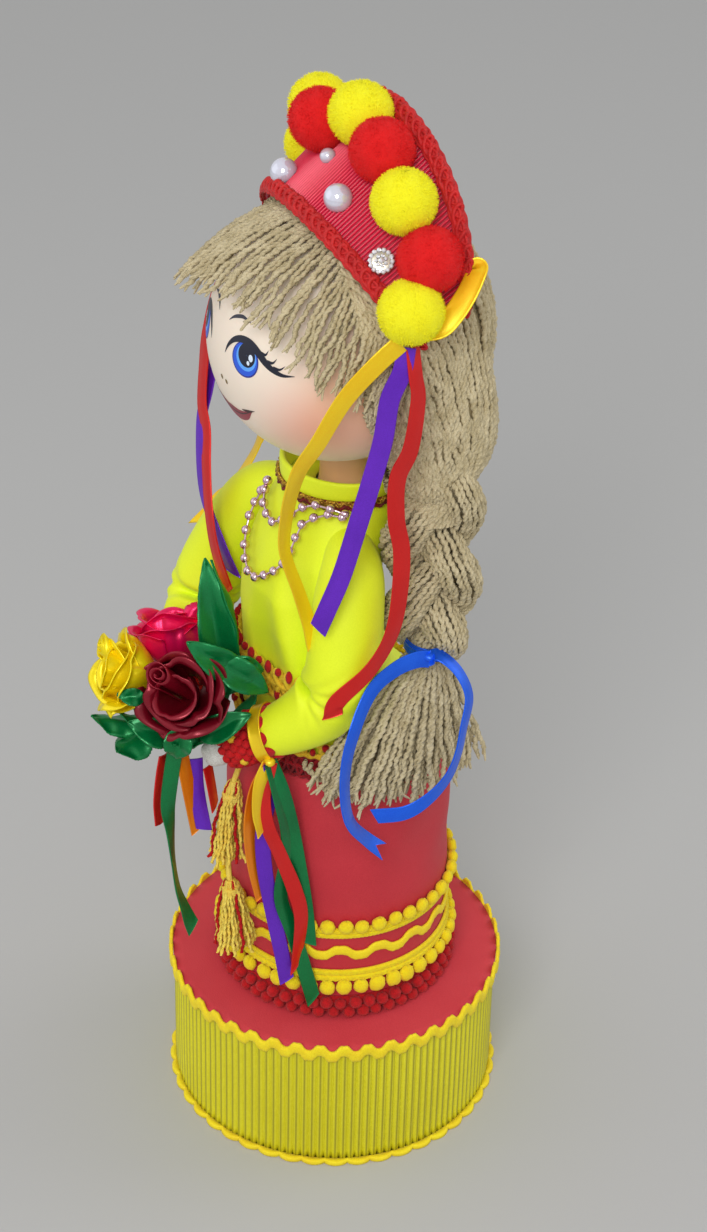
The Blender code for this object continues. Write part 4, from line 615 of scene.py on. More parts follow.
def painted_spot(east, north, wide, tall, tilt, proud, mirror=1.0):
    """A filled oval of paint on the head."""
    turn, rows = full_turn(40), []
    away = FAR_SIDE_TURN if mirror < 0 else 0.0
    for share in np.linspace(0.04, 1.0, 6):
        x, y = np.cos(turn) * wide * share, np.sin(turn) * tall * share
        rows.append(on_head(mirror * (east + x * math.cos(tilt) - y * math.sin(tilt) + away),
                            north + x * math.sin(tilt) + y * math.cos(tilt), proud))
    faces = np.concatenate((grid_faces(6, 40, False, True), [[30, 20, 10, 0]]))
    return np.concatenate(rows), faces[:, ::-1] if mirror > 0 else faces


def both_sides(shape, *sizes):
    """The same paint left and right of the middle of the face."""
    return [shape(*sizes, side) for side in (1.0, -1.0)]


skin = skin_finish()
add_piece("head_ball", smooth_ball(HEAD, HEAD_RADIUS, 64, 96), skin, "head")
neck = [(NECK_RADIUS - 0.8, z) for z in np.linspace(262.0, 245.0, 8)]
neck += [(NECK_RADIUS + 0.10 * (z - 253.0) ** 2 / 9.0 - 0.3, z) for z in np.linspace(245.0, 262.5, 12)]
add_piece("neck_stub", turned(neck, 64), skin, "neck")

lashes = both_sides(painted_stroke, LASH_LINE, LASH_WIDTHS, 0.10)
for line in LASH_SPIKES:
    lashes += both_sides(painted_stroke, line, (2.0, 1.0, 0.1), 0.11)
lashes += both_sides(painted_spot, 20.2, 9.7, 5.0, 5.4, 0.2, 0.09)
glints = both_sides(painted_spot, 22.8, 9.2, 1.2, 1.6, 0.2, 0.12) + both_sides(painted_spot, 21.6, 6.6, 0.8,
                                                                               1.0, 0.2, 0.12)
nostrils = [painted_spot(east, north, 0.85, 1.2, 0.3, 0.06) for east, north in ((6.3, -8.9), (2.6, -7.9))]
lip_top, lip_low = fine_line(LIP_UPPER, 60), fine_line(LIP_LOWER, 60)
lip_rows = [on_head(*(lip_top + (lip_low - lip_top) * s).T, 0.06) for s in np.linspace(0.0, 1.0, 6)]
mouth = both_sides(painted_stroke, MOUTH_CORNER, (0.5, 1.6, 0.1), 0.09)
mouth.append(painted_stroke(MOUTH_LINE, (0.3, 0.9, 1.0, 0.9, 0.3), 0.08))
for name, finish, colour, shape in (
        ("lashes", "lash_navy", (24, 26, 44), lashes),
        ("iris_rims", "iris_rim", (34, 40, 140), both_sides(painted_spot, 19.3, 7.4, 7.9, 8.1, 0.15, 0.05)),
        ("irises", "iris_blue", (40, 92, 222), both_sides(painted_spot, 19.3, 7.5, 7.3, 7.5, 0.15, 0.06)),
        ("iris_glow", "iris_pale_blue", (96, 170, 255),
         both_sides(painted_spot, 20.0, 8.6, 5.9, 6.1, 0.2, 0.075)),
        ("glints", "glint_white", (226, 240, 255), glints),
        ("brows", "brow_slate", (44, 46, 62),
         both_sides(painted_stroke, BROW_LINE, (0.3, 1.2, 1.7, 1.5, 0.3), 0.06)),
        ("nostrils", "nostril_ochre", (122, 96, 34), nostrils),
        ("lips", "lip_red", (150, 44, 60), (np.concatenate(lip_rows), grid_faces(6, 60)[:, ::-1])),
        ("lip_line", "lip_line", (58, 14, 22), mouth)):
    add_piece("painted_" + name, shape, cloth_finish(finish, colour, colour))


# Hair: undyed two-ply wool yarn, glued over the ball under the headdress and swept round the back of
# the head to one braid behind the left ear. Short cut ends stand out over the face as a fringe.
HAIR_MASSES = (((0.0, 2.0, 0.0), (44.6, 49.0, 46.5)), ((0.0, 24.0, -26.0), (32.0, 20.0, 29.0)),
               ((27.0, 20.0, -24.0), (16.5, 21.0, 27.0)))
HAIRLINE_FRONT, HAIRLINE_BACK, HAIRLINE_DROP, JAW_DROP = -11.0, 9.0, 5.5, 38.5
YARN_RADIUS, YARN_TWIST, CRIMP, CRIMP_RATE = 0.95, 4.6, 0.27, 0.72
SWEPT_YARNS, SWEPT_FROM, SWEPT_TO = 128, math.radians(126.0), math.radians(-130.0)
BRAID_TOP, BRAID_TIE = np.array((33.5, 13.5, 262.0)), np.array((35.0, 13.5, 198.5))
BUNDLE_RADIUS, BUNDLE_HEIGHT, BUNDLE_FOOT = 9.5, 258.0, 249.0
BAND_TILT, BAND_SETBACK, FRINGE_RADIUS, FRINGE_JUT = math.radians(32.0), 10.8, 43.4, 6.2
BAND_AXIS = np.array((0.0, math.cos(BAND_TILT), math.sin(BAND_TILT)))
FRINGE_HALF_TURN, FRINGE_YARNS = math.radians(74.0), 74
FRINGE_TIPS = ((-74, -60, -45, -30, -15, 0, 10, 20, 30, 40, 50, 60, 74),
               (-6, -2, 6, 18.5, 28, 30.5, 31.5, 28, 20, 13.5, 6, 1, -5))


def evenly(route, step):
    """The same line with points about one step apart, and how far along each is."""
    gone = np.concatenate(([0.0], np.cumsum(np.linalg.norm(np.diff(route, axis=0), axis=1))))
    at = np.linspace(0.0, gone[-1], max(int(gone[-1] / step) + 1, 4))
    return np.stack([np.interp(at, gone, values) for values in route.T], -1), at


def yarn(route, radius=YARN_RADIUS, step=0.62, start=0.0):
    """Two-ply yarn: a section of two round plies that turns as it goes along the route."""
    route, at = evenly(route, step)
    _, side, other = frames_along(route)
    crimp, phase = CRIMP * np.clip(at / 8.0, 0.0, 1.0), at * CRIMP_RATE
    route = (route + side * (crimp * np.sin(phase + start * 5.0))[:, None]
             + other * (crimp * 0.7 * np.sin(phase * 1.37 + start * 3.0))[:, None])
    around = full_turn(8)
    plies = 0.34 * np.abs(np.cos(around)) + np.sqrt(0.4356 - 0.1156 * np.sin(around) ** 2)
    turn = around + (at / YARN_TWIST * math.tau + start)[:, None]
    points = route[:, None] + between(side[:, None], other[:, None], turn) * (plies * radius)[:, None]
    ends = np.array([[0, 2, 4, 6], [len(route) * 8 - k for k in (2, 4, 6, 8)]])
    return points.reshape(-1, 3), np.concatenate((grid_faces(len(route), 8, False, True), ends))


def frayed(route, draw, radius=YARN_RADIUS, split=3.0):
    """A cut yarn: the two plies come apart at its end."""
    heading = norm_rows(route[-1] - route[-2])
    parts = [yarn(route, radius, start=draw.uniform(0.0, math.tau))]
    for _ in range(2):
        away = norm_rows(heading + draw.normal(0.0, 0.28, 3)) * split
        tip = np.array((heading * -0.8, away * 0.5, away * draw.uniform(0.7, 1.2))) + route[-1]
        parts.append(cord_tube(fine_line(tip, 5), radius * np.array((0.55, 0.52, 0.48, 0.42, 0.25)), 5))
    return parts


def hair_reach(headings):
    """How far the hair's surface lies from the head's centre in each direction."""
    total = np.zeros(len(headings))
    for centre, half_sizes in HAIR_MASSES:
        d, c = headings / half_sizes, np.array(centre) / half_sizes
        a, b = (d ** 2).sum(1), (d * c).sum(1)
        root = b ** 2 - a * ((c ** 2).sum() - 1.0)
        reach = np.where(root > 0.0, (b + np.sqrt(np.maximum(root, 0.0))) / a, 0.0)
        total += np.maximum(reach, 0.0) ** 14
    return total ** (1.0 / 14.0)


def swept_route(angle, draw, layer):
    """One yarn from the hairline round the head into the top of the braid, with its small waves."""
    share = min(max((SWEPT_FROM - angle) / (SWEPT_FROM - SWEPT_TO), 0.0), 1.0)
    lower = np.clip((-HAIRLINE_DROP - np.cos(angle) * HEAD_RADIUS) / (JAW_DROP - HAIRLINE_DROP), 0.0, 1.0)
    setback = HAIRLINE_FRONT + (HAIRLINE_BACK - HAIRLINE_FRONT) * lower
    start = norm_rows(np.array((np.sin(angle), setback / HEAD_RADIUS, np.cos(angle))))
    around = math.radians(-100.0 + 270.0 * share ** 0.8)
    end = BRAID_TOP * (1.0, 1.0, 0.0) + UP * BUNDLE_HEIGHT
    end += np.array((math.cos(around), math.sin(around), 0.0)) * (BUNDLE_RADIUS - layer * 1.3)
    goal, last = norm_rows(end - HEAD), np.linalg.norm(end - HEAD)
    middle = (start + goal) / 2.0 + np.array((-0.10, 1.0, 0.20)) * 1.5 * np.clip(share * 1.5 - 0.28, 0.0,
                                                                                 1.0) ** 1.2
    along = np.linspace(0.0, 1.0, 64)
    t = along[:, None]
    out = norm_rows((1.0 - t) ** 2 * start + 2.0 * t * (1.0 - t) * middle + t ** 2 * goal)
    slow, quick = draw.uniform(16.0, 26.0), draw.uniform(34.0, 52.0)
    wave = np.sin(t * slow + draw.uniform(0.0, 6.0)) + 0.6 * np.sin(t * quick + draw.uniform(0.0, 6.0))
    sideways = norm_rows(np.cross(out, np.gradient(out, axis=0)))
    out = norm_rows(out + sideways * wave * np.clip(t * 6.0, 0.0, 1.0) * 0.013)
    wander = 0.35 * np.sin(along * draw.uniform(5.0, 11.0) + draw.uniform(0.0, 6.0))
    reach = hair_reach(out) - YARN_RADIUS + wander * 0.5 - 0.9 * layer * np.sin(along * math.pi) ** 0.5
    ease = np.clip((along - 0.75) / 0.25, 0.0, 1.0) ** 2
    line = HEAD + out * (reach * (1.0 - ease) + last * ease)[:, None]
    foot = end - UP * (BUNDLE_HEIGHT - BUNDLE_FOOT)
    return np.vstack((line, (end + foot) / 2.0, foot))


wool = cloth_finish("two_ply_wool", (216, 202, 166), (182, 166, 126), 160.0, 2600.0, 0.95, 0.6, 0.045)
# The underlayer's wool is a darker copy of the yarn's colours: painted shade under and between the yarns.
wool_painted_shade = cloth_finish("shaded_wool", (178, 162, 124), (150, 134, 98), 300.0, 1500.0, 0.95, 0.9, 0.03)
draw = np.random.default_rng(3)
rows = [HEAD + (swept_route(a, draw, 0)[:-2] - HEAD) * 0.965 for a in np.linspace(SWEPT_FROM, SWEPT_TO, 60)]
plug = smooth_ball(BRAID_TOP - UP, (BUNDLE_RADIUS, BUNDLE_RADIUS, 13.0), 14, 20)
add_piece("hair_underlayer", [(np.concatenate(rows), grid_faces(len(rows), len(rows[0]))), plug], wool_painted_shade,
          "hair_cap", thickness=1.2)
draw = np.random.default_rng(11)
swept = []
for number in range(SWEPT_YARNS):
    angle = SWEPT_FROM + (SWEPT_TO - SWEPT_FROM) * number / (SWEPT_YARNS - 1)
    route = swept_route(angle + draw.normal(0.0, 0.014), draw, number % 3 * 0.30)
    swept.append(yarn(route, YARN_RADIUS * draw.uniform(1.0, 1.2), start=draw.uniform(0.0, math.tau)))
add_piece("hair_yarns", swept, wool)


def band_point(turn, setback, radius):
    """A point of the headdress cone: turned about its axis, set back along it, out from it."""
    turn, setback, radius = np.broadcast_arrays(turn, setback, radius)
    out = between(np.cross((1.0, 0.0, 0.0), BAND_AXIS), np.array((1.0, 0.0, 0.0)), turn)
    return HEAD + BAND_AXIS * setback[..., None] + out * radius[..., None]


def fringe_route(across, tip_extra, lower, draw):
    """One yarn of the fringe, from under the band to its cut end over the face."""
    turn, radius = across * FRINGE_HALF_TURN, FRINGE_RADIUS - lower
    root = norm_rows(band_point(turn, BAND_SETBACK + 1.5, math.sqrt(radius ** 2 - BAND_SETBACK ** 2)) - HEAD)
    tip_up = math.radians(np.interp(math.degrees(turn), *FRINGE_TIPS))
    tip = round_axis(math.cos(tip_up), turn * (1.5 - 0.26 * abs(across)), math.sin(tip_up))
    tip = norm_rows(tip + draw.normal(0.0, 0.014, 3))
    sideways = norm_rows(np.cross(root, tip)) * 0.017
    slow, start = draw.uniform(7.0, 14.0), draw.uniform(0.0, 6.0)
    share = np.linspace(0.0, 1.0 + tip_extra, 18)[:, None]
    heading = norm_rows(root * (1.0 - share) + tip * share + sideways * share * np.sin(share * slow + start))
    return HEAD + heading * (radius + FRINGE_JUT * math.cos(turn) ** 2 * share ** 1.5 + 1.2 * share ** 3)


fringe = []
for number in range(FRINGE_YARNS):
    across = (number + 0.5) / FRINGE_YARNS * 2.0 - 1.0 + draw.normal(0.0, 0.006)
    route = fringe_route(across, draw.uniform(-0.10, 0.10), draw.uniform(-0.3, 0.3), draw)
    fringe += frayed(route, draw, YARN_RADIUS * draw.uniform(0.9, 1.05))
for number in range(FRINGE_YARNS // 2):
    route = fringe_route((number + 0.25) / FRINGE_YARNS * 4.0 - 1.0, draw.uniform(-0.16, 0.02), 1.5, draw)
    fringe += frayed(route, draw, YARN_RADIUS * 0.95)
add_piece("fringe_yarns", fringe, wool, "fringe")


# Braid: three strands of the same yarn plaited, tied with blue ribbon, with a loose tail of cut ends.
# Its strands run from the top of the braid on the head down to the tie.
BRAID_FACING = math.radians(62.0)
BRAID_SWAY, BRAID_DEPTH, STRAND_RADIUS, BRAID_PITCH = 9.8, 5.6, 7.0, 80.0
NECKING_SHARE, PHASE_SHARE = 0.42, 0.10
STRAND_YARNS, TAIL_YARNS, GOLDEN_TURN = 19, 104, 2.399963
TIE_RADIUS, NECK_WIDE, TAIL_LENGTH, TAIL_WIDE, TAIL_THICK = 8.5, 5.27, 50.0, 33.0, 8.5
BRAID_ACROSS = np.array((math.cos(BRAID_FACING), math.sin(BRAID_FACING), 0.0))
BRAID_OUT = np.cross(BRAID_ACROSS, UP)
LOOP_KEYS = np.array(((0, 0.3, 0), (-0.35, 0.5, 0.35), (-0.62, 0.9, 0.72), (-0.66, 1, 0.98),
                      (-0.74, 1.1, 1.05),
                      (-0.92, 1.1, 1.02), (-0.97, 1.1, 0.96)))


def braid_place(side, out, up):
    """A place from the braid's tie."""
    return BRAID_TIE + np.stack(np.broadcast_arrays(side, out, up),
                                -1) @ np.array((BRAID_ACROSS, BRAID_OUT, UP))


shares = np.linspace(-0.02, 0.995, 60)
draw_in = 1.0 - NECKING_SHARE * np.clip(shares * 4.0 - 3.0, 0.0, None) ** 2
for number in range(3):
    phase = math.tau * (shares * np.linalg.norm(BRAID_TOP - BRAID_TIE) / BRAID_PITCH + number / 3.0
                        + PHASE_SHARE)
    line = braid_place(np.sin(phase) * BRAID_SWAY * draw_in, np.sin(phase * 2.0) * BRAID_DEPTH * draw_in, 0.0)
    line += (BRAID_TOP - BRAID_TIE) * (1.0 - shares[:, None])
    _, side, other = frames_along(line)
    strand = []
    for layer, count in ((1.0, STRAND_YARNS), (0.62, 8)):
        for place in range(count):
            turn = place / count * math.tau + shares * 2.6 + draw.normal(0.0, 0.05)
            wander = draw.normal(0.0, 0.14, 3) + 0.15 * np.sin(shares * draw.uniform(18.0, 40.0))[:, None]
            reach = ((STRAND_RADIUS - YARN_RADIUS) * layer * draw_in)[:, None]
            strand.append(yarn(line + between(side, other, turn) * reach + wander,
                               YARN_RADIUS * draw.uniform(1.0, 1.16),
                               0.66, draw.uniform(0.0, math.tau)))
    plait = add_piece("braid_yarns_%d" % (number + 1), strand, wool, "braid_strand_%d" % (number + 1),
                      None)
    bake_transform(plait)


def tail_place(side, depth, down):
    """A place in the loose tail: side and depth from -1 to 1, down from the tie as a share of its length."""
    opening = np.clip(down - 0.10, 0.0, None) ** 0.7
    spread = side * (NECK_WIDE + (TAIL_WIDE - NECK_WIDE) * opening) - 0.33 * TAIL_WIDE * opening
    proud = depth * (NECK_WIDE + (TAIL_THICK - NECK_WIDE) * opening)
    flare = (17.0 - 12.0 * side - 5.0 * side ** 2) * opening
    return braid_place(spread, flare - proud, 3.0 - TAIL_LENGTH * down * (1.0 - 0.20 * side ** 2 * opening))


tail = []
for number in range(TAIL_YARNS):
    turn, reach = number * GOLDEN_TURN, math.sqrt((number + 0.5) / TAIL_YARNS)
    down = np.linspace(-0.05, draw.uniform(0.88, 1.05), 44)
    wave = (0.030 * np.sin(down * draw.uniform(7.0, 14.0) + draw.uniform(0.0, 6.0))
            + 0.014 * np.sin(down * draw.uniform(24.0, 40.0) + draw.uniform(0.0, 6.0)))
    wave = wave * np.clip(down, 0.0, 1.0)
    route = tail_place(math.cos(turn) * reach * 0.97 + wave, math.sin(turn) * reach * 0.9 + wave * 2.0, down)
    tail += frayed(route, draw, YARN_RADIUS * draw.uniform(1.0, 1.14), 3.6)
tail += [yarn(tail_place(*fine_line(LOOP_KEYS + (shift, -shift, 0.0), 40).T)) for shift in (0.0, 0.06)]
add_piece("braid_tail_yarns", tail, wool, "braid_tail", "braid")


# Headdress: a crown of fluted metallic card on a cone that leans back, edged front and back with red
# scroll gimp, and crowned by nine cut-pile pompoms, pearls and two stone brooches.
BAND_FRONT_RADIUS, BAND_BACK_RADIUS, BAND_WIDTH = 46.2, 50.8, 44.0
BAND_HALF_TURN, BAND_RIBS = math.radians(75.0), 104
BAND_TAPER, BAND_ENDS = 0.6, 0.36
GIMP_LOOPS = 38
POMPOM_RADIUS, POMPOM_PROUD = 10.1, 5.5
POMPOMS = ((61.9, 0.334), (53.7, 0.648), (35.5, 0.768), (17.9, 0.898), (0.0, 0.990), (-14.0, 0.795),
    (-31.0, 0.909), (-48.0, 0.955), (-66.0, 0.818))
POMPOM_COLOURS = ("yellow", ((255, 250, 30), (252, 244, 20))), ("red", ((234, 20, 22), (224, 12, 16)))


def band_width(turn):
    """The band is widest over the crown and narrows to its ends."""
    return BAND_WIDTH * np.maximum(np.cos(turn), BAND_ENDS ** (1.0 / BAND_TAPER)) ** BAND_TAPER


def band_radius(setback):
    """The cone opens out towards the back."""
    return BAND_FRONT_RADIUS + (BAND_BACK_RADIUS - BAND_FRONT_RADIUS) * (setback - BAND_SETBACK) / BAND_WIDTH


def fluted_band():
    """The card crown: fine flutes across it on the outside, plain inside."""
    turn = np.linspace(-BAND_HALF_TURN, BAND_HALF_TURN, BAND_RIBS * 8 + 1)
    flute = 0.85 * (np.abs(np.cos(turn / (2.0 * BAND_HALF_TURN) * BAND_RIBS * math.pi)) ** 1.5 - 1.0)
    rows = []
    shares = [(s, False) for s in np.linspace(0.0, 1.0, 12)] + [(s, True) for s in np.linspace(1.0, 0.0, 8)]
    for share, inner in shares:
        setback = BAND_SETBACK + band_width(turn) * share
        rows.append(band_point(turn, setback, band_radius(setback) + (-0.55 if inner else 0.6 + flute)))
    return np.concatenate(rows), grid_faces(len(rows), len(turn), True, False)


def off_card(points):
    """Press what would pass through the card flat against its outer face, as glue does."""
    setback = (points - HEAD) @ BAND_AXIS
    out = points - HEAD - setback[:, None] * BAND_AXIS
    far = np.linalg.norm(out, axis=1)
    grown = np.maximum(far, band_radius(setback) + 0.3) / np.maximum(far, 1e-6)
    return HEAD + setback[:, None] * BAND_AXIS + out * grown[:, None]


def along_band(turn, edge, shift, proud):
    """A line on the band near its front (edge 0) or back (edge 1), shifted across it."""
    setback = BAND_SETBACK + band_width(turn) * edge + shift
    return band_point(turn, setback, band_radius(setback) + proud)


def scroll_gimp(edge, inward):
    """Furnishing gimp: a cord curled into loops between two straight cords."""
    t = np.linspace(0.0, GIMP_LOOPS, GIMP_LOOPS * 20 + 1)
    middle, round_loop = inward * 1.35, t * math.tau
    drift = 0.25 * np.sin(t * 2.3) + 0.2 * np.sin(t * 5.1)
    curl = (t - GIMP_LOOPS / 2.0) / GIMP_LOOPS * 2.0 * BAND_HALF_TURN - 0.034 * np.sin(round_loop)
    loops = along_band(curl, edge, middle + (1.75 + drift) * np.cos(round_loop),
                       2.0 + 0.75 * np.sin(round_loop + 0.6))
    small = along_band(curl + 0.020, edge, middle + 0.9 * np.cos(round_loop + 2.2),
                       2.1 + 0.5 * np.sin(round_loop + 3.4))
    straight = np.linspace(-BAND_HALF_TURN, BAND_HALF_TURN, 320)
    parts = [cord_tube(loops, 0.66, 7), cord_tube(small, 0.52, 6)]
    for shift, size, weave in ((-2.3, 0.5, 70.0), (-1.4, 1.0, 9.0), (0.0, 1.1, 30.0), (1.4, 1.0, 9.0),
                               (2.2, 0.5, 70.0)):
        place = middle + shift + 0.2 * np.sin(straight * weave + shift)
        parts.append(cord_tube(along_band(straight, edge, place, 1.2), size))
    return parts


card_foil = cloth_finish("red_foil_card", (222, 26, 70), (212, 18, 60), 30.0, 900.0, 0.30, 0.0, 0.0, 0.1)
upright_turn = math.pi / 2.0 - BAND_TILT
flutes = BAND_RIBS * math.pi / (2.0 * BAND_HALF_TURN)
head_upright = Matrix.Rotation(upright_turn, 3, "X") @ Matrix.Translation(HEAD * MM).translation
grooved(card_foil, flutes, (112, 0, 22), -flutes * math.pi / 2.0, upright_turn, tuple(-head_upright))
set_inputs(card_foil.node_tree.nodes["Principled BSDF"], {"Coat Weight": 0.15, "Coat Roughness": 0.25})
add_piece("headdress_card", fluted_band(), card_foil, "headdress_band")
gimp_red = cloth_finish("red_scroll_gimp", (214, 24, 26), (176, 10, 14), 300.0, 2600.0, 0.6, 0.6, 0.03)
add_piece("front_scroll_gimp", scroll_gimp(0.0, 1.0), gimp_red, "front_gimp")
add_piece("back_scroll_gimp", scroll_gimp(1.0, -1.0), gimp_red, "back_gimp")


def pompom(centre, radius, seed):
    """A trimmed pompom: a soft round ball covered in the tips of its pile."""
    draw = np.random.default_rng(seed)
    points, faces = unit_ball(26, 40)
    lumps = 0.02 * np.sin(points @ np.array((5.0, 7.0, 3.0)) + seed) + draw.normal(0.0, 0.012, len(points))
    body = points * (radius * (0.955 + lumps * 0.8))[:, None]
    root = norm_rows(draw.normal(0.0, 1.0, (5200, 3)))
    lean = norm_rows(root + draw.normal(0.0, 0.34, root.shape))
    side = norm_rows(np.cross(root, norm_rows(draw.normal(0.0, 1.0, root.shape)))) * 0.09
    base = root * radius * 0.93
    tip = base + lean * radius * draw.uniform(0.05, 0.10, (len(root), 1))
    pile = np.stack((base - side, base + side, tip + side * 0.5, tip - side * 0.5), 1).reshape(-1, 3)
    blades = np.arange(len(pile)).reshape(-1, 4)
    whole, quads = stack([(body, faces), (pile, blades)])
    return off_card(whole + centre), quads


pile_finishes = [cloth_finish(colour + "_pompom_pile", *tones, 300.0, 3000.0, 0.95, 0.9)
                 for colour, tones in POMPOM_COLOURS]
for number, (turn, share) in enumerate(POMPOMS, start=1):
    centre = band_point(math.radians(turn), BAND_WIDTH * share, BAND_BACK_RADIUS + POMPOM_PROUD)
    add_piece("pompom_ball_%d" % number, pompom(centre, POMPOM_RADIUS, number),
              pile_finishes[(number + 1) % 2],
              "pompom_%d" % number)


def hard_finish(name, colour, roughness, metallic=0.0, coat=0.0):
    """Pearl, bead or stone."""
    made = cloth_finish(name, colour, colour, 60.0, 1500.0, roughness, 0.0, 0.0, metallic)
    set_inputs(made.node_tree.nodes["Principled BSDF"], {"Coat Weight": coat})
    return made


def jewel_place(turn, setback, radius=49.0):
    """A place on the card for a jewel."""
    return band_point(math.radians(turn), setback, radius)


pearl = hard_finish("pearl", (222, 224, 240), 0.10, 0.30, 1.0)
pearls = stack([smooth_ball(jewel_place(15.0, 21.7), 4.4), smooth_ball(jewel_place(-20.7, 17.4), 4.4),
                smooth_ball(jewel_place(-5.7, 29.1), 2.5)])
add_piece("band_pearls", (off_card(pearls[0]), pearls[1]), pearl)


def brooch(turn, setback, size):
    """A flower brooch: clear stones in a ring round a small metal cup."""
    middle = jewel_place(turn, setback, 48.6)
    out = norm_rows(band_point(math.radians(turn), setback, 60.0) - middle)
    across = norm_rows(np.cross(out, UP))
    along = np.cross(out, across)
    stones, metal = [], []
    for ring, count, stone in ((size * 0.40, 14, 0.78), (size * 0.18, 7, 0.6)):
        for number in range(count):
            a = number / count * math.tau
            spot = middle + between(across, along, a) * ring + out * (1.0 if ring < 2.5 else 0.5)
            stones.append(smooth_ball(spot, stone, 5, 7))
            metal.append(smooth_ball(spot - out * 0.35, stone * 1.08, 6, 9))
    points, faces = unit_ball(10, 24)
    metal.append((middle + points * (size * 0.47, size * 0.47, 0.5) @ np.array((across, along, out)), faces))
    stones.append(smooth_ball(middle + out * 1.2, 0.85, 5, 7))
    return stones, metal


stones, settings = brooch(43.6, 18.4, 8.2)
far_stones, far_settings = brooch(-47.0, 19.0, 8.2)
crystal = hard_finish("clear_stone", (240, 242, 250), 0.05, 0.35, 1.0)
silver = hard_finish("old_silver", (196, 188, 170), 0.25, 0.9)
brooch_stones = add_piece("brooch_stones", stones + far_stones, crystal)
brooch_stones.data.shade_flat()
add_piece("brooch_settings", settings + far_settings, silver)


# Satin ribbons: 6 mm double-faced satin with a fine woven edge. Three hang from each end of the
# headdress past the cheeks, one loops behind the left temple, and a blue one ties the braid.
RIBBON_WIDTH, RIBBON_THICKNESS = 6.0, 0.45
DROP = 100.0
TO_VIEWER = np.array((0.735, -0.39, 0.555))
LEFT_RIBBONS = (
    ("yellow", "satin_gold", 0.9, (30, 32, 36, 42, 48, 52, 56, 56, 52, 44, 40), ((.497, -.047, .208),
     (.489, -.119, .150), (.456, -.205, .037), (.421, -.273, -.112), (.378, -.311, -.218),
     (.348, -.326, -.324), (.323, -.329, -.429), (.312, -.328, -.511), (.309, -.313, -.584),
     (.316, -.279, -.695), (.322, -.245, -.818), (.320, -.229, -.889))),
    ("purple", "satin_purple", -0.55, (24, 16, 6, 0, 0, 4, 8, 12), ((.492, -.023, .187),
     (.508, -.046, .116), (.501, -.079, .030), (.494, -.094, -.106), (.480, -.120, -.244),
     (.462, -.154, -.403), (.449, -.198, -.578), (.438, -.242, -.701), (.425, -.265, -.776))),
    ("red", "satin_red", 0.6, (46, 44, 38, 28, 26, 34, 52, 40, 6), ((.487, -.001, .178),
     (.515, -.003, .098), (.526, .002, .020), (.524, -.015, -.137), (.498, -.042, -.251),
     (.498, -.042, -.390), (.507, -.025, -.502), (.512, -.027, -.631), (.510, -.041, -.764),
     (.496, -.067, -.863), (.479, -.121, -.956), (.456, -.208, -1.046), (.448, -.221, -1.107))))
RIGHT_RIBBONS = (
    ("red", "satin_red", 0.6, (-30, -50, -56, -60, -58, -64, -60), ((-.452, .070, .190),
     (-.466, .030, .125), (-.490, -.06, .080), (-.492, -.16, -.020), (-.478, -.215, -.170),
     (-.475, -.232, -.304), (-.450, -.250, -.420), (-.410, -.255, -.500), (-.345, -.285, -.600),
     (-.262, -.315, -.720), (-.215, -.315, -.840), (-.178, -.285, -.985))),
    ("purple", "satin_purple", -0.5, (-30, -44, -50, -46, -56, -64, -56), ((-.448, .095, .200),
     (-.469, .068, .134), (-.512, .01, .080), (-.512, -.105, -.020), (-.486, -.181, -.230),
     (-.462, -.225, -.380), (-.446, -.256, -.500), (-.346, -.296, -.680), (-.237, -.285, -.830),
     (-.195, -.260, -.930))),
    ("yellow", "satin_gold", 0.8, (-30, -50, -64, -70, -50, -20), ((-.452, .120, .215),
     (-.481, .077, .144), (-.520, .040, .080), (-.525, .01, -.070), (-.520, .0, -.380),
     (-.515, -.004, -.600), (-.520, -.010, -.660), (-.525, -.040, -.725), (-.520, -.100, -.800),
     (-.515, -.160, -.835), (-.505, -.200, -.875), (-.495, -.245, -.905))))
BACK_LOOP = ((.455, -.035, .240), (.489, .009, .235), (.515, .068, .240), (.515, .112, .270),
    (.500, .165, .320), (.485, .203, .372), (.470, .216, .382), (.445, .205, .362))
SATINS = {"satin_gold": ((255, 220, 34), (255, 204, 20)), "satin_purple": ((114, 44, 210), (100, 34, 190)),
          "satin_red": ((224, 34, 30), (212, 24, 22)), "satin_blue": ((28, 108, 248), (18, 92, 236)),
          "satin_green": ((4, 134, 70), (0, 108, 54)), "satin_burgundy": ((146, 14, 38), (118, 8, 28)),
          "satin_pink": ((246, 22, 100), (234, 14, 86)), "satin_lemon": ((255, 236, 20), (250, 222, 12)),
          "satin_orange": ((250, 150, 14), (244, 132, 8))}


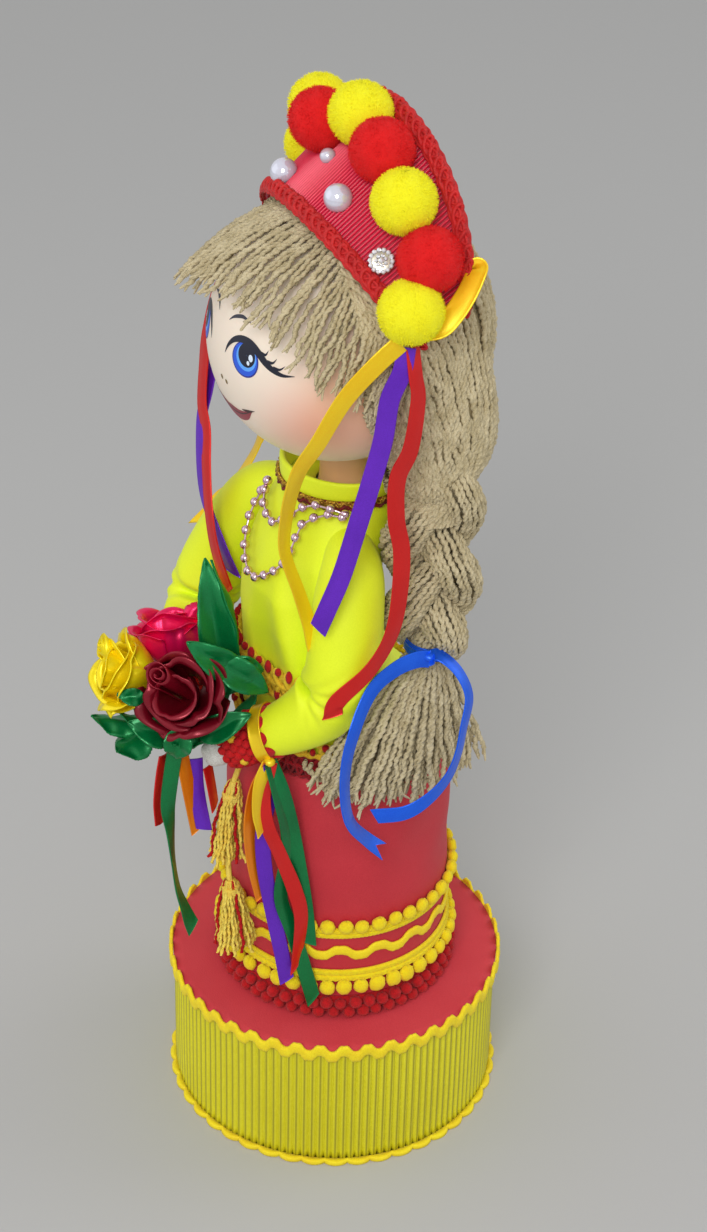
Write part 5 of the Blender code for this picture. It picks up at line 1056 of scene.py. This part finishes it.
def satin_strip(route, facing, turns=(0.0, 0.0), width=RIBBON_WIDTH, cup=0.35, cut=0.0, fork=0.0, count=70):
    """A ribbon along a route, gently cupped across, with a rounded woven edge and a slanted cut end."""
    line = fine_line(route, count)
    run = norm_rows(np.gradient(line, axis=0))
    across = norm_rows(np.cross(run, facing))
    out = np.cross(across, run)
    share = np.linspace(0.0, 1.0, count)
    roll = np.radians(np.interp(share, np.linspace(0.0, 1.0, len(turns)), turns))
    roll = np.convolve(np.pad(roll, 5, "edge"), np.full(11, 1.0 / 11.0), "valid")
    across, out = between(across, out, roll), between(out, -across, roll)
    spots = np.array((-1.0, -0.94, -0.85, -0.5, 0.0, 0.5, 0.85, 0.94, 1.0))
    thick = RIBBON_THICKNESS / 2.0 * np.array((0.5, 1.25, 0.8, 0.7, 0.7, 0.7, 0.8, 1.25, 0.5))
    bow = cup * (1.0 - spots ** 2)
    section = [*zip(spots, bow + thick)] + [*zip(spots, bow - thick)][::-1]
    stretch = np.clip((share - 0.93) / 0.07, 0.0, 1.0)[:, None]
    rows = []
    for spot, rise in section:
        slant = run * stretch * width * (cut * spot * 0.5 + fork * (abs(spot) - 0.5))
        rows.append(line + across * spot * width / 2.0 + out * rise + slant)
    points = np.stack(rows, 1).reshape(-1, 3)
    n = len(section)
    faces = grid_faces(count, n, False, True)
    caps = [[k, k + 1, n - 2 - k, n - 1 - k] for k in range(n // 2 - 1)]
    last = (count - 1) * n
    return points, np.concatenate((faces, np.array(caps), np.array(caps)[:, ::-1] + last))


def satin_finish(name, light, dark):
    """Satin: a smooth bright face with a soft broad gloss and fine cross threads."""
    made = cloth_finish(name, light, dark, 60.0, 3000.0, 0.30, 0.06, 0.0, 0.38)
    set_inputs(made.node_tree.nodes["Principled BSDF"], {"Anisotropic": 0.5})
    return made


satins = {name: satin_finish(name, *tones) for name, tones in SATINS.items()}
for side, ribbons in (("left", LEFT_RIBBONS), ("right", RIGHT_RIBBONS)):
    for colour, finish, cut, turns, route in ribbons:
        strip = satin_strip(HEAD + np.array(route) * DROP, TO_VIEWER, turns, cut=cut, count=90)
        add_piece("%s_satin_%s" % (side, colour), strip, satins[finish],
                  "%s_ribbon_%s" % (side, colour), body="%s_ribbons" % side)
loop_strip = satin_strip(HEAD + np.array(BACK_LOOP) * DROP, TO_VIEWER, (0, 10, 10, 20, 30, 60), 6.6, 0.3)
add_piece("back_loop_gold", loop_strip, satins["satin_gold"])

BOW_LENGTH = 70.0
BOW_NEAR = ((0.0, .150, -.040), (-.060, .175, -.050), (-.146, .215, -.030), (-.240, .290, .013),
    (-.297, .363, .084), (-.341, .435, .194), (-.368, .463, .320), (-.375, .463, .470), (-.363, .449, .616),
    (-.331, .420, .729), (-.261, .363, .850), (-.204, .335, .921))
BOW_FAR = ((0.0, .150, -.040), (.043, .165, -.070), (.129, .200, -.010), (.182, .249, .094),
    (.162, .306, .230), (.141, .335, .358), (.098, .349, .484), (.017, .363, .596), (-.090, .392, .661),
    (-.235, .420, .665))
NEAR_TURNS, FAR_TURNS = (20, 30, 42, 50, 54, 58, 60, 58, 50, 30), (40, 50, 56, 62, 66, 68, 62, 48, 32, 28)


def bow_route(shares):
    """Across, out and down from the tie."""
    return braid_place(*(np.array(shares) * (1.0, 1.0, -1.0) * BOW_LENGTH).T)


turns = np.linspace(0.0, 2.05, 60) * math.tau
wrap = np.stack((np.cos(turns) * TIE_RADIUS, np.sin(turns) * TIE_RADIUS * 0.92,
                 4.4 - turns / turns[-1] * 2.8), -1)
wrapping = satin_strip(BRAID_TIE + wrap, UP, (90.0, 90.0), 3.4, 0.2, count=60)
knot = smooth_ball(BRAID_TIE + BRAID_OUT * (TIE_RADIUS + 0.9) + UP * 3.4, (2.9, 2.9, 1.7), 10, 14)
blue_parts = [wrapping, knot, satin_strip(bow_route(BOW_NEAR), TO_VIEWER, NEAR_TURNS, fork=0.9, count=90),
              satin_strip(bow_route(BOW_FAR), TO_VIEWER, FAR_TURNS, 5.6, cut=0.5, count=90)]
add_piece("braid_bow", blue_parts, satins["satin_blue"], "braid_ribbon", body="braid")


# Arms: knit sleeves bent forward, red crochet wristbands, and mitten hands of white cloth that meet
# under the bouquet. Each route is given from the middle of the shoulders.
SHOULDERS = np.array((0.0, 0.0, 240.0))
SLEEVE_RADIUS, CUFF_RADIUS, CUFF_LENGTH = 12.2, 8.8, 12.0
SLEEVE_SHARES = (0.50, 0.82, 0.95, 1.00, 0.99, 0.92, 0.82, 0.74, 0.68)
LEFT_ARM = ((.16, -.075, -.02), (.275, -.115, -.09), (.322, -.150, -.22), (.342, -.170, -.36),
    (.345, -.190, -.46), (.325, -.230, -.545), (.285, -.285, -.61), (.240, -.340, -.66),
    (.205, -.374, -.688))
LEFT_FINGERS = ((.095, -.495, -.795), (.060, -.535, -.805))
RIGHT_ARM = ((-.16, -.080, -.02), (-.290, -.150, -.10), (-.345, -.220, -.24), (-.365, -.285, -.38),
    (-.355, -.345, -.49), (-.310, -.400, -.575), (-.245, -.448, -.64), (-.190, -.480, -.685))
RIGHT_FINGERS = ((-.065, -.570, -.785), (-.040, -.595, -.790))


def fat_tube(line, radii, around, wrinkle=None):
    """A thick tube with closed ends; wrinkle moves its skin, given the share along and the turn."""
    _, side, other = frames_along(line)
    turn, share = full_turn(around), np.linspace(0.0, 1.0, len(line))
    reach = np.asarray(radii)[:, None] * np.ones(around)
    out = between(side[:, None], other[:, None], turn)
    if wrinkle:
        reach = reach + wrinkle(share[:, None], turn, out)
    points = (line[:, None] + out * reach[:, :, None]).reshape(-1, 3)
    faces = grid_faces(len(line), around, False, True)
    caps, last = [], (len(line) - 1) * around
    for k in range(around // 2 - 1):
        caps.append([k, around - 1 - k, around - 2 - k, k + 1])
        caps.append([last + k, last + k + 1, last + around - 2 - k, last + around - 1 - k])
    return points, np.concatenate((faces, np.array(caps)))


def sleeve_wrinkle(share, turn, out):
    """Creases that fan out from the inside of the bent elbow, soft folds above them, gathers at the cuff."""
    spread = 1.0 - out @ np.array((-0.60, -0.56, 0.56))
    creases = 0.0
    for shift, depth, width in ((-0.15, 1.0, 0.026), (-0.08, 1.6, 0.022), (-0.01, 2.6, 0.020),
                                (0.06, 1.8, 0.022),
                                (0.12, 1.0, 0.026)):
        creases = creases - depth * bump(share, 0.575 + shift * spread, width) * bump(spread, 0.0, 1.15)
    pillows = 1.3 * bump(spread, 0.0, 0.8) * bump(share, 0.575, 0.12)
    upper = 0.5 * np.sin(turn * 2.0 + share * 9.0) * np.sin(share * math.pi)
    cuff = 0.35 * np.sin(turn * 11.0) * np.clip(share * 8.0 - 7.0, 0.0, 1.0)
    return creases + pillows + upper + cuff - 0.25


glove = cloth_finish("white_glove_cloth", (226, 224, 218), (190, 186, 178), 200.0, 2400.0, 0.85, 0.4, 0.06)
cuff_red = cloth_finish("red_crochet", (214, 16, 22), (176, 4, 10), 400.0, 2600.0, 0.9, 0.8)
for side, arm, fingers in (("left", LEFT_ARM, LEFT_FINGERS), ("right", RIGHT_ARM, RIGHT_FINGERS)):
    flip = np.array((1.0 if side == "left" else -1.0, 1.0, 1.0))
    line = fine_line(SHOULDERS + np.array(arm) * 100.0, 130)
    radii = SLEEVE_RADIUS * fine_line(SLEEVE_SHARES, 130)
    radii[-3:] *= (0.99, 0.95, 0.86)
    sleeve = fat_tube(line, radii, 72, lambda s, a, out: sleeve_wrinkle(s, a, out * flip))
    add_piece(side + "_sleeve_knit", sleeve, knit, side + "_sleeve")
    heading = norm_rows(line[-1] - line[-2])
    start = line[-1] + heading * 0.6
    _, cross, other = frames_along(np.array((start, start + heading, start + heading * 2.0)))
    ball_points, ball_faces = unit_ball(10, 16)
    lobes, bobbles, centres = [], [], []
    for number in range(10):
        t = number / 10.0 * math.tau + 0.3
        out, over = between(cross[0], other[0], t), between(other[0], -cross[0], t)
        flat = ball_points * (2.7, 3.3, 0.75) @ np.array((over, heading, out))
        lobes.append((line[-5] + out * (SLEEVE_RADIUS * 0.70 + 0.1) + flat, ball_faces))
    for level in range(5):
        for number in range(15):
            t = (number + level % 2 * 0.5) / 15.0 * math.tau
            out = between(cross[0], other[0], t) * (CUFF_RADIUS - 1.3)
            spot = start + heading * (2.4 + CUFF_LENGTH * (level + 0.5) / 5.0) + out
            ball = woolly_ball(spot, 1.55 if level in (0, 4) else 1.75, level * 20 + number, 8, 12, 0.05)
            (centres if level == 2 and number % 3 == 0 else bobbles).append(ball)
    core = start + heading * np.linspace(1.0, CUFF_LENGTH + 1.6, 8)[:, None]
    bobbles.append(fat_tube(core, np.full(8, CUFF_RADIUS - 1.9), 30))
    add_piece(side + "_cuff_scallops", lobes, pile_red)
    add_piece(side + "_crochet_band", bobbles, cuff_red, side + "_wristband")
    add_piece(side + "_crochet_centres", centres, crochet_yellow)
    if side == "left":
        t = np.linspace(0.0, math.tau * 1.05, 60) + 2.0
        band = line[-1] + heading * (0.4 + 1.6 * np.cos(t - 1.0))[:, None] + between(cross[0], other[0],
                                                                                     t) * 9.6
        add_piece("wrist_satin_band", satin_strip(band, heading, (90.0, 90.0), 4.6, 0.2, count=60),
                  satins["satin_gold"])
    palm = fine_line(np.vstack((start, start + heading * CUFF_LENGTH, SHOULDERS + np.array(fingers) * 100.0)),
                     50)
    taper = fine_line((4.6, 5.2, 5.4, 5.3, 5.0, 4.4, 2.4), 50)
    mitten = fat_tube(palm, taper, 32, lambda s, a, out: 0.35 * np.sin(a * 3.0 + s * 9.0) * s)
    add_piece(side + "_cloth_hand", mitten, glove, side + "_hand")


# Bouquet: three roses rolled and folded from satin, on a whorl of green satin leaves with a folded
# rib, all glued to a pad between the hands.
HEART = np.array((0.0, -60.0, 187.0))
REACH, SMALL_REACH = 14.2, 12.8
ROSES = (("burgundy", "satin_burgundy", "satin_burgundy", (0.84, -0.16, 0.06), REACH, (0.7, -0.6, 0.4),
    2.0), ("yellow", "satin_lemon", "satin_gold", (-0.34, -1.10, 0.08), SMALL_REACH, (-0.2, -0.9, 0.4),
    0.4), ("pink", "satin_pink", "satin_pink", (-1.06, 0.30, 0.34), SMALL_REACH, (-0.5, 0.1, 0.85), 1.2))
LEAVES = (((0.62, 1.00, -0.40), (-0.336, 0.893, 2.796), 1.0, 1), ((0.60, 1.15, -0.40),
    (-0.145, 0.953, 2.836), 0.8, 0), ((1.03, 1.06, 0.40), (0.877, -0.125, 1.558), 0.85, 1),
    ((0.90, 0.55, 0.90), (1.472, 1.594, 0.043), 0.85, 1), ((0.90, 0.75, 0.60), (1.10, 1.66, 0.40), 0.7, 1),
    ((1.10, 0.05, -0.95), (1.672, 1.070, -0.276), 0.75, 1), ((0.75, -0.45, -1.05), (0.496, -1.443, -0.471),
    0.8, 1), ((1.15, -0.40, -0.50), (1.126, -0.557, -1.349), 0.75, 1), ((0.65, -1.10, 0.17),
    (0.389, -1.643, 0.298), 0.45, 1), ((0.50, 0.75, -1.15), (0.52, 1.78, -0.45), 1.0, 0),
    ((-0.10, -0.70, -1.25), (0.20, -1.62, -1.45), 1.0, 0), ((-0.40, -0.60, -1.25), (-0.70, -1.85, -0.95),
    0.8, 0), ((-0.90, 0.20, -1.20), (-1.75, 0.55, -0.80), 0.9, 0))
LEAF_WIDTH = 15.0
BUD_LEAN = (0.62, -0.46)


def petal(radius, low, high, angle, spread, curl, draw):
    """One folded satin petal of a rose, standing round its axis, with its soft top edge turned outwards."""
    across, up = np.meshgrid(np.linspace(-1.0, 1.0, 33), np.linspace(0.0, 1.0, 22))
    turn = angle + across * spread
    rise = np.clip(up / 0.62, 0.0, 1.0)
    rolled = np.clip((up - 0.62) / 0.38, 0.0, 1.0) * 1.75
    bend = curl * 1.45 * (1.0 - 0.55 * across ** 2)
    phase, other = draw.uniform(0.0, 6.0), draw.uniform(0.0, 6.0)
    reach = radius * (0.30 + 0.70 * np.sin(rise * math.pi / 2.0)
                      + 0.10 * across) + bend * (1.0 - np.cos(rolled)) * 0.75
    ruffle = 0.09 * np.sin(across * 3.1 + phase) + 0.05 * np.sin(across * 6.5 + up * 5.0 + other)
    ruffle = ruffle - 0.10 * np.exp(-((across - 0.3 * math.sin(phase)) / 0.09) ** 2) * rise
    reach = reach + radius * rise * ruffle
    tall = low + (high - low) * rise * (1.0 - 0.24 * across ** 2) + bend * np.sin(rolled) * 0.8
    tall = tall + radius * rise * (0.10 * np.sin(across * 3.6 + phase * 2.0)
                                   + 0.04 * np.sin(across * 8.0 + other))
    return np.stack((np.cos(turn) * reach, np.sin(turn) * reach, tall), -1).reshape(-1, 3), grid_faces(22, 33)


def rose(centre, radius, lean, seed_turn, draw):
    """A rose folded by hand: a rolled bud that leans out, and loose petals that lap over each other."""
    turn = np.linspace(0.0, 2.3 * math.tau, 90)
    coil = radius * (0.05 + 0.22 * turn / turn[-1]) * (1.0 + 0.06 * np.sin(turn * 2.3))
    rows = []
    for up in np.linspace(0.0, 1.0, 10):
        flare = 1.0 + 0.16 * up ** 4
        rows.append(np.stack((np.cos(turn) * coil * flare + radius * BUD_LEAN[0] * up,
                              np.sin(turn) * coil * flare + radius * BUD_LEAN[1] * up,
                              radius * (-0.4 + 1.25 * up) - 0.10 * radius * (turn / turn[-1]) * up), -1))
    parts = [(np.concatenate(rows), grid_faces(10, 90))]
    rings = (0.42, 2, 0.62, 1.2), (0.64, 3, 0.50, 1.9), (0.88, 4, 0.20, 2.4)
    for ring, (share, count, top, curl) in enumerate(rings):
        for number in range(count):
            angle = seed_turn + number / count * math.tau + ring * 0.8 + draw.uniform(-0.25, 0.25)
            points, faces = petal(radius * share, -0.80 * radius, top * radius * draw.uniform(0.80, 1.15),
                                  angle, math.pi / count * 1.5, curl, draw)
            away = radius * np.array((BUD_LEAN[0], BUD_LEAN[1], 0.0)) * 0.35 * (1.0 - share)
            parts.append((points + away + radius * np.append(draw.uniform(-0.07, 0.07, 2), 0.0), faces))
    points, faces = stack(parts)
    axis = norm_rows(np.array(lean))
    across = norm_rows(np.cross(axis, (0.1, 0.2, 1.0)))
    other = np.cross(axis, across)
    return centre + points @ np.array((across, other, axis)), faces


def leaf(root, tip, width, outward, arch=1.6):
    """A pointed satin leaf with a folded rib and a picot edge."""
    along = np.linspace(0.0, 1.0, 34)
    run = tip - root
    across = norm_rows(np.cross(run, outward))
    out = norm_rows(np.cross(across, run))
    picot = 1.0 + 0.025 * np.sin(along * 110.0)
    half_width = width * 1.025 * along ** 0.55 * (1.0 - along) ** 0.85 * picot + 0.15
    rows = []
    for spot in np.linspace(-1.0, 1.0, 11):
        fold = abs(spot) * half_width * 0.50
        sag = arch * np.sin(along * math.pi) + 0.45 * np.sin(along * 9.0 + spot * 3.0)
        sag = sag + 0.25 * spot * np.sin(along * 21.0)
        rows.append(root + run * along[:, None] + across * (spot * half_width)[:, None]
                    + out * (fold + sag)[:, None])
    return np.concatenate(rows), grid_faces(11, 34)


draw = np.random.default_rng(21)
for name, finish, slot, place, radius, lean, seed_turn in ROSES:
    centre = HEART + np.array(place) * REACH
    bloom = rose(centre, radius, lean, seed_turn, draw)
    add_piece("satin_rose_" + name, bloom, satins[finish], "rose_" + name, thickness=0.35)
leaves = []
for root, tip, share, near in LEAVES:
    root, tip = HEART + np.array(root) * REACH, HEART + np.array(tip) * REACH
    outward = TO_VIEWER if near else norm_rows((root + tip) / 2.0 - HEART + UP * 3.0)
    leaves.append(leaf(root, tip, LEAF_WIDTH * share, outward))
for number in range(9):
    a = number / 9.0 * math.tau + 0.2
    root = HEART + np.array((math.cos(a) * 0.2, math.sin(a) * 0.2, -1.35)) * REACH
    tip = HEART + np.array((math.cos(a) * 1.45, math.sin(a) * 1.35, -0.85)) * REACH
    leaves.append(leaf(root, tip, 9.5, np.array((math.cos(a) * 0.4, math.sin(a) * 0.4, -1.0)), 1.2))
add_piece("satin_leaves", leaves, satins["satin_green"], "bouquet_leaves", thickness=0.35)
pad = smooth_ball(HEART - UP * 1.20 * REACH, (REACH, REACH * 0.9, REACH * 0.33), 14, 28)
add_piece("bouquet_pad", pad, satins["satin_green"])


# Hanging bunches: short satin ends tied under the bouquet and at the left wrist, and two tassels of
# yellow and red yarn, one above the other, on a cord at the front of the belt.
BOUQUET_KNOT, WRIST_KNOT = np.array((0.0, -60.0, 156.6)), np.array((29.3, -40.8, 166.3))
BOUQUET_ENDS = (
    ("green", "satin_green", 0.8, (0, 10, 30, 80, 84, 60, 10), ((.030, -.025, .035), (.033, -.041, -.050),
     (.027, -.053, -.179), (.029, -.048, -.273), (.033, -.041, -.417), (.039, -.029, -.539),
     (.052, -.005, -.637), (.063, .016, -.711))),
    ("red", "satin_red", -0.4, (62, 66, 66), ((-.006, -.05, .008), (-.004, -.067, -.078),
     (-.008, -.076, -.183), (-.007, -.073, -.278))),
    ("orange", "satin_orange", 0.4, (40, 36, 30), ((.023, .003, .010), (.038, .010, -.075),
     (.046, .026, -.192), (.054, .041, -.298))),
    ("purple", "satin_purple", -0.4, (10, 20, 10), ((.022, .050, -.023), (.036, .046, -.110),
     (.052, .050, -.200), (.070, .058, -.290))),
    ("scarlet", "satin_red", 0.4, (56, 60, 64), ((.050, .082, -.045), (.068, .088, -.125),
     (.080, .094, -.200))))
WRIST_ENDS = (
    ("red", "satin_red", 0.8, (0, 20, -20, -30, 0, 30, 60), ((.0, .0, .0), (-.002, -.022, -.127),
     (.006, -.014, -.241), (.022, .033, -.388), (.036, .078, -.538), (.040, .101, -.668),
     (.030, .088, -.883))),
    ("purple", "satin_purple", 0.6, (40, 30, 0, 10, 0, 0), ((.0, .0, .0), (-.008, .004, -.142),
     (-.015, -.016, -.292), (-.012, -.010, -.457), (-.004, .020, -.660), (.006, .045, -.820),
     (.010, .064, -.950))),
    ("orange", "satin_orange", 0.4, (50, 50, 40, 30), ((.0, .0, .0), (-.025, -.040, -.112),
     (-.034, -.056, -.251), (-.036, -.044, -.411), (-.028, -.014, -.574))),
    ("gold", "satin_gold", 0.5, (30, 40, 50), ((.0, .0, .0), (.002, -.034, -.074), (-.002, -.040, -.188),
     (-.003, -.026, -.277))),
    ("green", "satin_green", -0.5, (10, 20, 10, 0, 0), ((.0, .0, .0), (.012, .040, -.125),
     (.012, .074, -.278), (.018, .102, -.463), (.028, .124, -.643), (.034, .134, -.791))),
    ("leaf", "satin_green", 0.9, (50, 50, 40, 30, 10, 0), ((.0, .0, .0), (.012, .030, -.163),
     (.016, .054, -.298), (.012, .054, -.420), (.004, .042, -.580), (.018, .084, -.742),
     (.036, .122, -.916), (.050, .148, -1.040))))
for bunch, knot_at, ends in (("bouquet", BOUQUET_KNOT, BOUQUET_ENDS), ("wrist", WRIST_KNOT, WRIST_ENDS)):
    for number, (colour, finish, cut, turns, route) in enumerate(ends):
        strip = satin_strip(knot_at + np.array(route) * DROP, TO_VIEWER, turns, 5.2, 0.4, cut, count=60)
        add_piece("%s_end_%s" % (bunch, colour), strip, satins[finish],
                  None if number else bunch + "_ribbons", body=bunch + "_ribbons")
add_piece("bouquet_ribbon_knot", smooth_ball(BOUQUET_KNOT, (3.0, 3.0, 6.4), 12, 18), satins["satin_green"],
          body="bouquet_ribbons")
add_piece("wrist_ribbon_knot", smooth_ball(WRIST_KNOT, (1.9, 1.9, 1.5), 12, 18), satins["satin_gold"],
          body="wrist_ribbons")

TASSEL_HOOK, TASSEL_LENGTH, TASSEL_RADIUS = np.array((2.1, -35.9, 153.25)), 34.0, 5.2
TASSEL_LINE = ((0, 0, 0), (.05, .12, .22), (.10, .20, .36), (.13, .25, .60), (.16, .28, .90),
    (.19, .30, 1.10), (.21, .31, 1.16), (.25, .32, 1.32), (.28, .32, 1.42), (.31, .32, 1.60),
    (.34, .32, 1.90), (.36, .32, 2.15))
tassel_line = TASSEL_HOOK + np.array(TASSEL_LINE) * (1.0, -1.0, -1.0) * TASSEL_LENGTH
threads = {"yellow": [cord_tube(fine_line(tassel_line, 60), 1.0, 8)], "red": []}
for top, foot in ((1.7, 5.4), (7.6, 11.0)):
    for number in range(34):
        turn, reach = number * GOLDEN_TURN, math.sqrt((number + 0.5) / 34.0)
        at = np.linspace(top, foot + draw.uniform(-0.1, 0.1), 12)
        middle = np.stack([np.interp(at, np.arange(12), tassel_line[:, i]) for i in range(3)], -1)
        gone = np.clip((at - top) / (foot - top), 0.0, 1.0)
        swell = reach * (1.4 + (TASSEL_RADIUS + 0.8) * gone ** 0.8)
        swell = swell + 0.8 * np.sin(gone * (7.0 + number % 5) + number) * gone
        route = middle + np.stack((np.cos(turn) * swell, np.sin(turn) * swell, 0.0 * swell), -1)
        threads["red" if number % 7 == 0 else "yellow"].append(yarn(route, 0.72, 0.6, start=turn))
    spot = np.array([np.interp(top + 0.75, np.arange(12), tassel_line[:, i]) for i in range(3)])
    coil = np.linspace(0.0, 4.0 * math.tau, 70)
    wrap = np.stack((np.cos(coil) * 2.6, np.sin(coil) * 2.6, 1.6 - coil / coil[-1] * 3.2), -1)
    threads["yellow"].append(cord_tube(spot + wrap, 0.6, 6))
tassel_yellow = cloth_finish("yellow_tassel_yarn", (255, 234, 110), (252, 212, 76), *CROCHET)
add_piece("tassel_yellow_yarn", threads["yellow"], tassel_yellow, "belt_tassels",
          body="belt_tassels")
add_piece("tassel_red_yarn", threads["red"], cuff_red, body="belt_tassels")


# Necklace: two rounds of silver-pink ball chain lying on the chest, each bead joined to the next by a
# thin link.
BEAD_RADIUS, BEAD_PITCH = 1.6, 4.7
LONG_STRING = ((.34, .975), (.307, .985), (.25, .970), (.182, .941), (.161, .893), (.156, .841),
    (.143, .786), (.122, .747), (.083, .706), (.031, .668), (-.021, .668), (-.068, .699), (-.11, .735),
    (-.137, .779), (-.163, .82), (-.168, .875), (-.16, .92), (-.155, .952))
SHORT_STRING = ((.35, .985), (.30, .995), (.26, 1.0), (.195, 1.0), (.13, .962), (.044, .886), (-.012, .879),
    (-.086, .896), (-.133, .925))
bead_metal = hard_finish("silver_pink_beads", (222, 192, 206), 0.14, 0.95)
for name, string in (("long", LONG_STRING), ("short", SHORT_STRING)):
    keys = fine_line([(turn * math.pi, BLOUSE_WAIST + rise * BLOUSE_RISE) for turn, rise in string], 160)
    lift = BEAD_RADIUS + 0.6
    line = np.stack([torso_place(turn, height, lift) + (0.0, 0.0, lift) for turn, height in keys])
    beads_at, _ = evenly(line, BEAD_PITCH)
    parts = [smooth_ball(spot, BEAD_RADIUS, 14, 20) for spot in beads_at] + [cord_tube(beads_at, 0.42, 6)]
    add_piece("ball_chain_" + name, parts, bead_metal, "bead_string_" + name)
